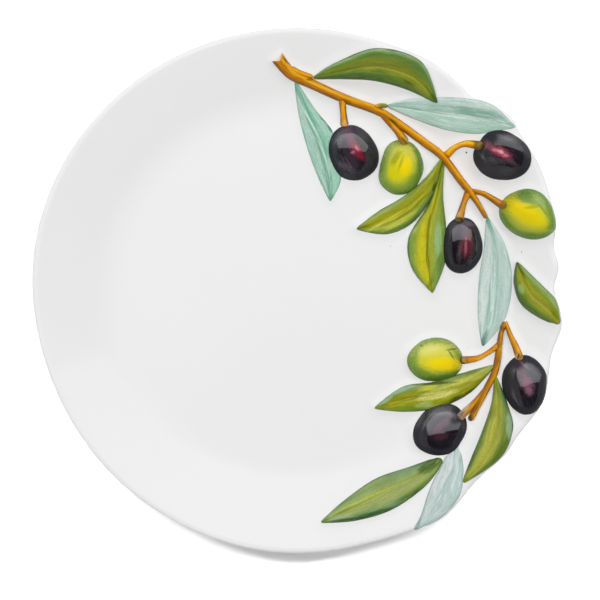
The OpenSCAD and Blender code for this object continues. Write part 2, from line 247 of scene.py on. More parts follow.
def stemRows(name, t):
    spine, widths, _ = stemForms[name]
    spine, step = planPoints(spine), 0.5 / (len(spine) * 3)
    along = throughPoints(spine, np.minimum(t + step, 1)) - throughPoints(spine, np.maximum(t - step, 0))
    along /= np.linalg.norm(along, axis=1)[:, None]
    side = np.stack([-along[:, 1], along[:, 0]], 1) * (throughPoints(planLength(widths), t) / 2)[:, None]
    middle = throughPoints(spine, t)
    return middle + side, middle - side


def oliveFrame(name):  # centre, half sizes and directions, the first pointing away from the stalk
    center, size, angle, _ = oliveForms[name]
    middle, half = planPoints(center), planLength(size) / 2
    axis = np.array([math.cos(math.radians(angle)), math.sin(math.radians(angle))])
    stalk = next(spine for spine, _, olive in stemForms.values() if olive == name)
    if np.dot(planPoints(stalk[-1]) - middle, axis) > 0:
        axis = -axis
    return middle, half, axis, np.array([-axis[1], axis[0]])


def oliveWave(name, away):  # share of the plain ellipse that the outline has in a direction
    shares = oliveForms[name][3]
    count = len(shares)
    turn = np.degrees(np.arctan2(away[:, 1], away[:, 0])) % 360 / (360 / count)
    return throughPoints(shares * 3, (turn + count) / (3 * count - 1))  # the middle one of three rounds


def leafOutline(name):
    left, right = leafRows(name, np.linspace(0, 1, 49))
    return np.concatenate([left, right[::-1]])


def stemOutline(name):
    left, right = stemRows(name, np.linspace(0, 1, 41))
    return np.concatenate([left, right[::-1]])


def oliveOutline(name):
    middle, half, axis, side = oliveFrame(name)
    turn = np.linspace(0, 2 * math.pi, 72, endpoint=False)[:, None]
    away = half[0] * np.cos(turn) * axis + half[1] * np.sin(turn) * side
    return middle + away * oliveWave(name, away)[:, None]


# soft fillet of slip and glaze round each relief piece: height at its edge and spread
slipFillet = {
    "leaf": (0.0012, 0.0060), "paleLeaf": (0.0008, 0.0045), "olive": (0.0013, 0.0055), "stem": (0.0010, 0.0045),
}
slipBlend = 4  # how sharply the highest fillet wins where they meet
reliefSeat = {"lap": 0.0003, "gap": 0.0001}  # edges dip into the fillet, and a thin joint is left under the piece
paleLeaves = ("leaf_top_left", "leaf_top_right", "leaf_middle", "leaf_bottom_rim")


def leafSlip(name):
    return slipFillet["paleLeaf" if name in paleLeaves else "leaf"]


def slipHeight(points):
    fillets = [(leafOutline(n), *leafSlip(n)) for n in leafEdges]
    fillets += [(oliveOutline(n), *slipFillet["olive"]) for n in oliveForms]
    fillets += [(stemOutline(n), *slipFillet["stem"]) for n in stemForms]
    total = np.zeros(len(points))
    for outline, height, spread in fillets:
        low, high = outline.min(0) - spread, outline.max(0) + spread
        near = np.flatnonzero(((points > low) & (points < high)).all(1))
        gap = gapToOutline(points[near], outline)
        total[near] += (height * np.clip(1 - gap / spread, 0, 1) ** 2) ** slipBlend
    return total ** (1 / slipBlend)


# shader node helpers
def paint(r, g, b):  # a colour as seen on screen, to linear light
    return tuple((c / 255 / 12.92 if c <= 10 else ((c / 255 + 0.055) / 1.055) ** 2.4) for c in (r, g, b)) + (1.0,)


def put(tree, socket, value):
    if isinstance(value, bpy.types.NodeSocket):
        tree.links.new(value, socket)
    elif value is not None:
        socket.default_value = value


def calc(tree, kind, a, b=None, c=None, clamp=False):
    node = tree.nodes.new("ShaderNodeMath")
    node.operation = kind
    node.use_clamp = clamp
    for socket, value in zip(node.inputs, (a, b, c)):
        put(tree, socket, value)
    return node.outputs[0]


def times(tree, a, b):
    return calc(tree, "MULTIPLY", a, b)


def timesPlus(tree, a, b, c):
    return calc(tree, "MULTIPLY_ADD", a, b, c)


def minus(tree, a, b):
    return calc(tree, "SUBTRACT", a, b)


def fromCenter(tree, u, v):
    return calc(tree, "SQRT", calc(tree, "ADD", times(tree, u, u), times(tree, v, v)))


def fade(tree, value, low, high):  # smooth 0 to 1 as value goes from low to high
    node = tree.nodes.new("ShaderNodeMapRange")
    node.interpolation_type = "SMOOTHSTEP"
    for socket, v in zip(node.inputs, (value, low, high, 0.0, 1.0)):
        put(tree, socket, v)
    return node.outputs[0]


def mixColor(tree, share, a, b):
    node = tree.nodes.new("ShaderNodeMix")
    node.data_type = "RGBA"
    put(tree, node.inputs["Factor"], share)
    put(tree, node.inputs[6], a)
    put(tree, node.inputs[7], b)
    return node.outputs[2]


def colorRamp(tree, value, stops):
    node = tree.nodes.new("ShaderNodeValToRGB")
    ramp = node.color_ramp
    while len(ramp.elements) < len(stops):
        ramp.elements.new(0.5)
    for element, (place, color) in zip(ramp.elements, stops):
        element.position = place
        element.color = paint(*color)
    put(tree, node.inputs[0], value)
    return node.outputs[0]


def noise(tree, vector, scale, detail=2.0, rough=0.5):
    node = tree.nodes.new("ShaderNodeTexNoise")
    put(tree, node.inputs["Vector"], vector)
    put(tree, node.inputs["Scale"], scale)
    put(tree, node.inputs["Detail"], detail)
    put(tree, node.inputs["Roughness"], rough)
    return node.outputs["Fac"]


def joined(tree, x, y, z=0.0):
    node = tree.nodes.new("ShaderNodeCombineXYZ")
    for socket, v in zip(node.inputs, (x, y, z)):
        put(tree, socket, v)
    return node.outputs[0]


def objectPlace(tree):
    return tree.nodes.new("ShaderNodeTexCoord").outputs["Object"]


def newGroup(name, vectors, floats, outputs):
    group = bpy.data.node_groups.new(name, "ShaderNodeTree")
    for label in vectors:
        group.interface.new_socket(label, in_out="INPUT", socket_type="NodeSocketVector")
    for label, value in floats.items():
        socket = group.interface.new_socket(label, in_out="INPUT", socket_type="NodeSocketFloat")
        socket.default_value = value
    for label in outputs:
        group.interface.new_socket(label, in_out="OUTPUT", socket_type="NodeSocketFloat")
    return group, group.nodes.new("NodeGroupInput"), group.nodes.new("NodeGroupOutput")


def useGroup(tree, group, **values):
    node = tree.nodes.new("ShaderNodeGroup")
    node.node_tree = group
    for label, value in values.items():
        put(tree, node.inputs[label], value)
    return node.outputs


# brush marks: stretch along and across, scale, detail, roughness, start and end of the mask
brushMarks = {
    "Grain": (1.0, 1.0, 1.3, 3.0, 0.65, 0.35, 0.68),
    "Blot": (0.16, 0.2, 1.0, 2.0, 0.5, 0.3, 0.7),
    "Broad": (0.06, 0.5, 1.0, 2.0, 0.5, 0.25, 0.75),
    "Fine": (0.14, 1.4, 1.0, 4.0, 0.7, 0.3, 0.7),
}
blotBend = 2.2  # how far the broad and fine strokes bend round the blots
dabMarks = {"streakAlong": 170.0, "streakAcross": 800.0, "fleckScale": 1500.0, "soft": 0.6, "seedStep": 3.7}
glazeMarks = {
    "pitScale": 900.0, "pitFrom": (0.7, 0.8), "pitDepth": 0.08, "roughFrom": (0.35, 0.75), "roughSpread": 0.03,
    "bump": 0.0004,
}


def brushGroup():  # brush strokes that run along a piece
    group, given, out = newGroup(
        "brushStrokes", (), {"Along": 0.0, "Across": 0.0, "Length": 60.0, "Width": 16.0, "Seed": 0.0}, brushMarks)
    g = given.outputs
    x, y = times(group, g["Along"], g["Length"]), times(group, g["Across"], g["Width"])
    for label, (stretchAlong, stretchAcross, scale, detail, rough, start, end) in brushMarks.items():
        place = joined(group, times(group, x, stretchAlong), times(group, y, stretchAcross), g["Seed"])
        mark = noise(group, place, scale, detail, rough)
        put(group, out.inputs[label], fade(group, mark, start, end))
        if label == "Blot":
            y = timesPlus(group, mark, blotBend, y)
    return group


def dabGroup():  # one soft dab of a brush, streaked along its direction
    group, given, out = newGroup(
        "brushDab", ("Place", "Center"),
        {"Turn": 0.0, "Length": 0.01, "Width": 0.002, "Streak": 1.4, "Soft": 0.5, "Fleck": 0.4, "Seed": 0.0},
        ("Mask",))
    g = given.outputs
    away = group.nodes.new("ShaderNodeVectorMath")
    away.operation = "SUBTRACT"
    put(group, away.inputs[0], g["Place"])
    put(group, away.inputs[1], g["Center"])
    turned = group.nodes.new("ShaderNodeVectorRotate")
    turned.rotation_type = "Z_AXIS"
    put(group, turned.inputs["Vector"], away.outputs[0])
    put(group, turned.inputs["Angle"], times(group, g["Turn"], -1.0))
    split = group.nodes.new("ShaderNodeSeparateXYZ")
    put(group, split.inputs[0], turned.outputs[0])
    x, y = split.outputs[0], split.outputs[1]
    streakX, streakY = times(group, x, dabMarks["streakAlong"]), times(group, y, dabMarks["streakAcross"])
    streak = noise(group, joined(group, streakX, streakY, g["Seed"]), 1.0, 4.0, 0.65)
    fleck = noise(group, turned.outputs[0], dabMarks["fleckScale"], 2.0, 0.6)
    reach = fromCenter(group, calc(group, "DIVIDE", x, g["Length"]), calc(group, "DIVIDE", y, g["Width"]))
    reach = timesPlus(group, minus(group, streak, 0.5), g["Streak"], reach)
    reach = timesPlus(group, minus(group, fleck, 0.5), g["Fleck"], reach)
    outer, inner = calc(group, "ADD", g["Soft"], 1.0), minus(group, 1.0, g["Soft"])
    put(group, out.inputs["Mask"], fade(group, reach, outer, inner))
    return group


def glazeGroup():  # unevenness and small pits of a fired gloss glaze
    group, given, out = newGroup(
        "glazeSurface", (), {"Wave": 40.0, "Depth": 1.0, "Gloss": 0.08}, ("Roughness", "Height"))
    g = given.outputs
    place = objectPlace(group)
    waves = noise(group, place, g["Wave"], 2.0, 0.45)
    pits = fade(group, noise(group, place, glazeMarks["pitScale"], 1.0), *glazeMarks["pitFrom"])
    rough = timesPlus(group, fade(group, waves, *glazeMarks["roughFrom"]), glazeMarks["roughSpread"], g["Gloss"])
    uneven = calc(group, "ADD", waves, times(group, pits, -glazeMarks["pitDepth"]))
    put(group, out.inputs["Roughness"], rough)
    put(group, out.inputs["Height"], times(group, uneven, g["Depth"]))
    return group


brushStrokes = brushGroup()
brushDab = dabGroup()
glazeSurface = glazeGroup()


def newGlaze(name, ior):
    material = bpy.data.materials.new(name)
    material.use_nodes = True
    tree = material.node_tree
    shader = next(n for n in tree.nodes if n.type == "BSDF_PRINCIPLED")
    shader.inputs["IOR"].default_value = ior
    return material, tree, shader


def addBump(tree, shader, height, depth):
    bump = tree.nodes.new("ShaderNodeBump")
    bump.inputs["Strength"].default_value = 1.0
    bump.inputs["Distance"].default_value = depth
    put(tree, bump.inputs["Height"], height)
    put(tree, shader.inputs["Normal"], bump.outputs[0])


def finishGlaze(tree, shader, color, look, streaks=None):
    surface = useGroup(tree, glazeSurface, Wave=look["wave"], Depth=look["depth"], Gloss=look["gloss"])
    height = surface["Height"]
    if streaks is not None:
        height = calc(tree, "ADD", height, times(tree, streaks, look["streakDepth"]))
    addBump(tree, shader, height, glazeMarks["bump"])
    put(tree, shader.inputs["Roughness"], surface["Roughness"])
    put(tree, shader.inputs["Base Color"], color)


def paintCoordinates(tree):
    node = tree.nodes.new("ShaderNodeUVMap")
    node.uv_map = "paint"
    split = tree.nodes.new("ShaderNodeSeparateXYZ")
    tree.links.new(node.outputs[0], split.inputs[0])
    return split.outputs[0], split.outputs[1]


# a dab: place, half length and half width in picture points, degrees, colour, strength, softness of its edge
def dabMask(tree, dab, streak, fleck, seed):
    x, y, length, width, turn, _, strength, *soft = dab
    soft = soft[0] if soft else dabMarks["soft"]
    spot = planPoints((x, y))
    mask = useGroup(
        tree, brushDab, Place=objectPlace(tree), Center=(float(spot[0]), float(spot[1]), 0.0),
        Turn=math.radians(turn), Length=float(planLength(length)), Width=float(planLength(width)),
        Streak=streak * soft / dabMarks["soft"], Soft=soft, Fleck=fleck, Seed=seed)["Mask"]
    return times(tree, mask, strength)


def addDabs(tree, color, dabs, streak=1.4, fleck=0.4):
    for number, dab in enumerate(dabs):
        mask = dabMask(tree, dab, streak, fleck, number * dabMarks["seedStep"])
        color = mixColor(tree, mask, color, paint(*dab[5]))
    return color


# mesh helpers
def meshObject(name, verts, faces, uv=None, materials=()):
    mesh = bpy.data.meshes.new(name)
    mesh.from_pydata([tuple(v) for v in verts], [], [tuple(f) for f in faces])
    if uv is not None:
        layer = mesh.uv_layers.new(name="paint")
        corner = np.zeros(len(mesh.loops), np.int32)
        mesh.loops.foreach_get("vertex_index", corner)
        layer.data.foreach_set("uv", np.asarray(uv, np.float32)[corner].ravel())
    for material in materials:
        mesh.materials.append(material)
    mesh.shade_smooth()
    mesh.validate()
    piece = bpy.data.objects.new(name, mesh)
    scene.collection.objects.link(piece)
    return piece


def dress(piece, node):
    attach(piece, "root")
    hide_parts(node)


def ringFaces(rings, parts):  # closed skin over rings of points, with a middle point at both ends
    at = np.arange(rings * parts).reshape(rings, parts)
    ahead = np.roll(at, -1, 1)
    faces = np.stack([at[:-1], at[1:], ahead[1:], ahead[:-1]], -1).reshape(-1, 4).tolist()
    faces += [(rings * parts, a, b) for a, b in zip(at[0], ahead[0])]
    return faces + [(rings * parts + 1, b, a) for a, b in zip(at[-1], ahead[-1])]


def gridPiece(name, plan, heights, uv, material):  # closed relief piece from a grid of points seated on the dish
    rows, count = heights.shape
    under = np.concatenate([plan, (dishTop(plan) + reliefSeat["gap"])[..., None]], 2)
    top = np.concatenate([plan, heights[..., None]], 2)
    verts = np.concatenate([top.reshape(-1, 3), under.reshape(-1, 3)])
    at = np.arange(rows * count).reshape(rows, count)
    low = at + rows * count
    quads = [np.stack([at[:-1, :-1], at[:-1, 1:], at[1:, 1:], at[1:, :-1]], -1).reshape(-1, 4),
             np.stack([low[:-1, :-1], low[1:, :-1], low[1:, 1:], low[:-1, 1:]], -1).reshape(-1, 4),
             np.stack([at[:-1, 0], at[1:, 0], low[1:, 0], low[:-1, 0]], -1),
             np.stack([at[1:, -1], at[:-1, -1], low[:-1, -1], low[1:, -1]], -1),
             np.stack([at[0, 1:], at[0, :-1], low[0, :-1], low[0, 1:]], -1),
             np.stack([at[-1, :-1], at[-1, 1:], low[-1, 1:], low[-1, :-1]], -1)]
    flat = uv.reshape(-1, 2)
    piece = meshObject(name, verts, np.concatenate(quads).tolist(), np.concatenate([flat, flat]), [material])
    dress(piece, name)


# white dish with its foot ring
dishLook = {
    "glaze": (240, 240, 240), "toneScale": 14.0, "toneFrom": (0.3, 0.7),
    "wave": 28.0, "depth": 0.25, "gloss": 0.07, "ior": 1.37,
    "bisque": (214, 205, 190), "bisqueDark": (180, 169, 150), "bisqueIor": 1.32, "bisqueRough": 0.9,
    "bisqueScale": 700.0, "bisqueGrain": 0.0003, "speckSoft": (1.6, 0.7),
    "specks": [  # place and half width in picture points, colour
        ((467, 152), 0.9, (70, 60, 55)), ((522, 252), 0.5, (150, 140, 130)), ((391, 246), 0.4, (170, 165, 160))],
}


def dishMaterials():
    material, tree, shader = newGlaze("whiteGlaze", dishLook["ior"])
    place = objectPlace(tree)
    tone = fade(tree, noise(tree, place, dishLook["toneScale"]), *dishLook["toneFrom"])
    r, g, b = dishLook["glaze"]
    color = mixColor(tree, tone, paint(r, g, b), paint(r - 1, g - 1, b - 1))
    for where, size, dark in dishLook["specks"]:  # iron specks under the glaze
        spot = planPoints(where)
        away = tree.nodes.new("ShaderNodeVectorMath")
        away.operation = "DISTANCE"
        put(tree, away.inputs[0], place)
        away.inputs[1].default_value = (spot[0], spot[1], float(surfaceHeight(np.hypot(*spot))))
        outer, inner = (float(planLength(size)) * share for share in dishLook["speckSoft"])
        color = mixColor(tree, fade(tree, away.outputs["Value"], outer, inner), color, paint(*dark))
    finishGlaze(tree, shader, color, dishLook)

    bisque, tree, shader = newGlaze("bareBisque", dishLook["bisqueIor"])
    grain = noise(tree, objectPlace(tree), dishLook["bisqueScale"], 4.0, 0.7)
    color = mixColor(tree, grain, paint(*dishLook["bisque"]), paint(*dishLook["bisqueDark"]))
    put(tree, shader.inputs["Base Color"], color)
    shader.inputs["Roughness"].default_value = dishLook["bisqueRough"]
    addBump(tree, shader, grain, dishLook["bisqueGrain"])
    return material, bisque


# rings of the dish's mesh, and steps round it in degrees, finer on the sprigs' side
dishMesh = {
    "firstRings": [0.006, 0.012, 0.02, 0.028], "ringsFrom": 0.035, "ringStep": 0.001, "rimRings": 27, "lipRings": 9,
    "edgeRings": 8, "underLipRings": 9, "underRings": 10, "underBendRings": 8,
    "fineTurns": (-100, 104), "fineStep": 0.45, "coarseStep": 1.2,
}


def dishRings(angles):  # radius and height of rings from the floor over the lip to the underside, and share of slip
    slope, wall, bend = dishShape["rimSlope"], dishShape["wall"], dishShape["bendRadius"]
    sine, cosine = math.sin(slope), math.cos(slope)
    lipOut, lipUp = lipStep(math.pi / 2)
    lipStart = rimRadius(angles) - lipOut
    rings, slipShare = [], []

    def addRing(ring, share=0.0):
        rings.append(np.broadcast_to(ring, (len(angles), 2)))
        slipShare.append(share)

    innerRings = np.arange(dishMesh["ringsFrom"], bendEnd, dishMesh["ringStep"])
    for r in np.concatenate([dishMesh["firstRings"], innerRings]):
        addRing(np.array([r, float(surfaceHeight(r))]), 1.0)
    for s in np.linspace(0, 1, dishMesh["rimRings"]):
        r = bendEnd + (lipStart - bendEnd) * s
        addRing(np.stack([r, surfaceHeight(r)], 1), 1.0)
    topTurns = np.linspace(-slope, dishShape["lipTurn"], dishMesh["lipRings"])[1:]
    edgeTurns = np.linspace(dishShape["lipTurn"], math.pi / 2, dishMesh["edgeRings"])[1:]
    for turn in np.concatenate([topTurns, edgeTurns]):
        out, up = lipStep(turn)
        addRing(np.stack([lipStart + out, surfaceHeight(lipStart) + up], 1), math.cos(max(turn, 0)) ** 2)
    slipShare[-1] = 0.0
    widest = rings[-1]
    lowerRound = (wall - lipOut * sine + lipUp * cosine) / (cosine ** 2 - sine * (1 - sine))
    for turn in np.linspace(math.pi / 2, math.pi - slope, dishMesh["underLipRings"])[1:]:
        addRing(widest + lowerRound * np.array([math.sin(turn) - 1, math.cos(turn)]))
    lipEnd = rings[-1]
    bendCenter = np.array([dishShape["wellRadius"], floorTop + bend])
    underBend = bendCenter - (bend + wall) * np.array([-sine, cosine])
    for s in np.linspace(0, 1, dishMesh["underRings"])[1:]:
        addRing(lipEnd * (1 - s) + s * underBend)
    for turn in np.linspace(slope, 0, dishMesh["underBendRings"])[1:]:
        addRing(bendCenter + (bend + wall) * np.array([math.sin(turn), -math.cos(turn)]))
    for ring in dishShape["footProfile"]:
        addRing(np.array(ring) / 1000)
    return np.array(rings), np.array(slipShare)


def buildDish():
    start, end = dishMesh["fineTurns"]
    coarse = np.arange(end, start + 360, dishMesh["coarseStep"])
    angles = np.concatenate([np.arange(start, end, dishMesh["fineStep"]), coarse])
    rings, slipShare = dishRings(angles)
    count, parts = rings.shape[:2]
    turn = np.radians(angles)
    verts = np.stack([rings[..., 0] * np.cos(turn), rings[..., 0] * np.sin(turn), rings[..., 1]], -1)
    raised = slipShare > 0
    plan = verts[raised][..., :2].reshape(-1, 2)
    verts[raised, :, 2] += slipHeight(plan).reshape(-1, parts) * slipShare[raised][:, None]
    middles = [[0, 0, floorTop], [0, 0, dishShape["underCenter"]]]
    points = np.concatenate([verts.reshape(-1, 3), middles])
    piece = meshObject("whiteDish", points, ringFaces(count, parts), None, dishMaterials())
    standing = rings[:-1, 0, 1] + rings[1:, 0, 1] < 2 * dishShape["bareBelow"]  # the foot's face stays unglazed
    index = np.zeros(len(piece.data.polygons), np.int32)
    index[:(count - 1) * parts] = np.repeat(standing, parts)
    piece.data.polygons.foreach_set("material_index", index)
    dress(piece, "dish")


buildDish()
print("dish made")

# leaves: sizes in metres, and the fired surface
leafForm = {
    "green": {"edge": 0.0010, "crown": 0.0017, "groove": 0.0007, "pillow": 0.0005},
    "pale": {"edge": 0.0005, "crown": 0.0009, "groove": 0.0004, "pillow": 0.0},
    "edgeRound": 0.0012, "grooveWidth": 0.055, "crownPower": 2.4, "endBow": 0.65, "endReach": 1.6,
    "rows": 64, "rowCrowd": 0.35,
    "halfShares": [0, 0.012, 0.028, 0.05, 0.08, 0.12, 0.17, 0.23, 0.29, 0.35, 0.40, 0.44, 0.47, 0.49, 0.5],
    "wave": 120.0, "depth": 0.2, "gloss": 0.07, "streakDepth": 0.06, "ior": 1.32,
}
# share along the leaf where it starts to rise, where it is up, and how far
leafLift = {
    "leaf_top": (0.55, 0.85, 0.0006), "leaf_center_left": (0.75, 0.35, 0.0009), "leaf_rim": (0.0, 0.6, 0.0006),
}
# masks that all leaves share: turn to the tip's colours, streaks, specks, ends, rib and painted border
leafBrush = {
    "toTip": (0.35, 0.85), "toTipBlot": 0.3, "streak": 0.7, "darkStreak": (0.5, 0.0), "lightStreak": (0.55, 1.0),
    "speck": 0.3, "speckFrom": (0.35, 0.0), "tipSoft": 0.06, "ribWander": 0.12, "ribEnd": (1.0, 0.75),
    "border": 0.75, "borderWidth": (0.03, -0.01), "borderStreak": -0.02, "baseStreak": 0.5, "baseSoft": (1.6, 0.4),
    "ribCore": 0.25,
}
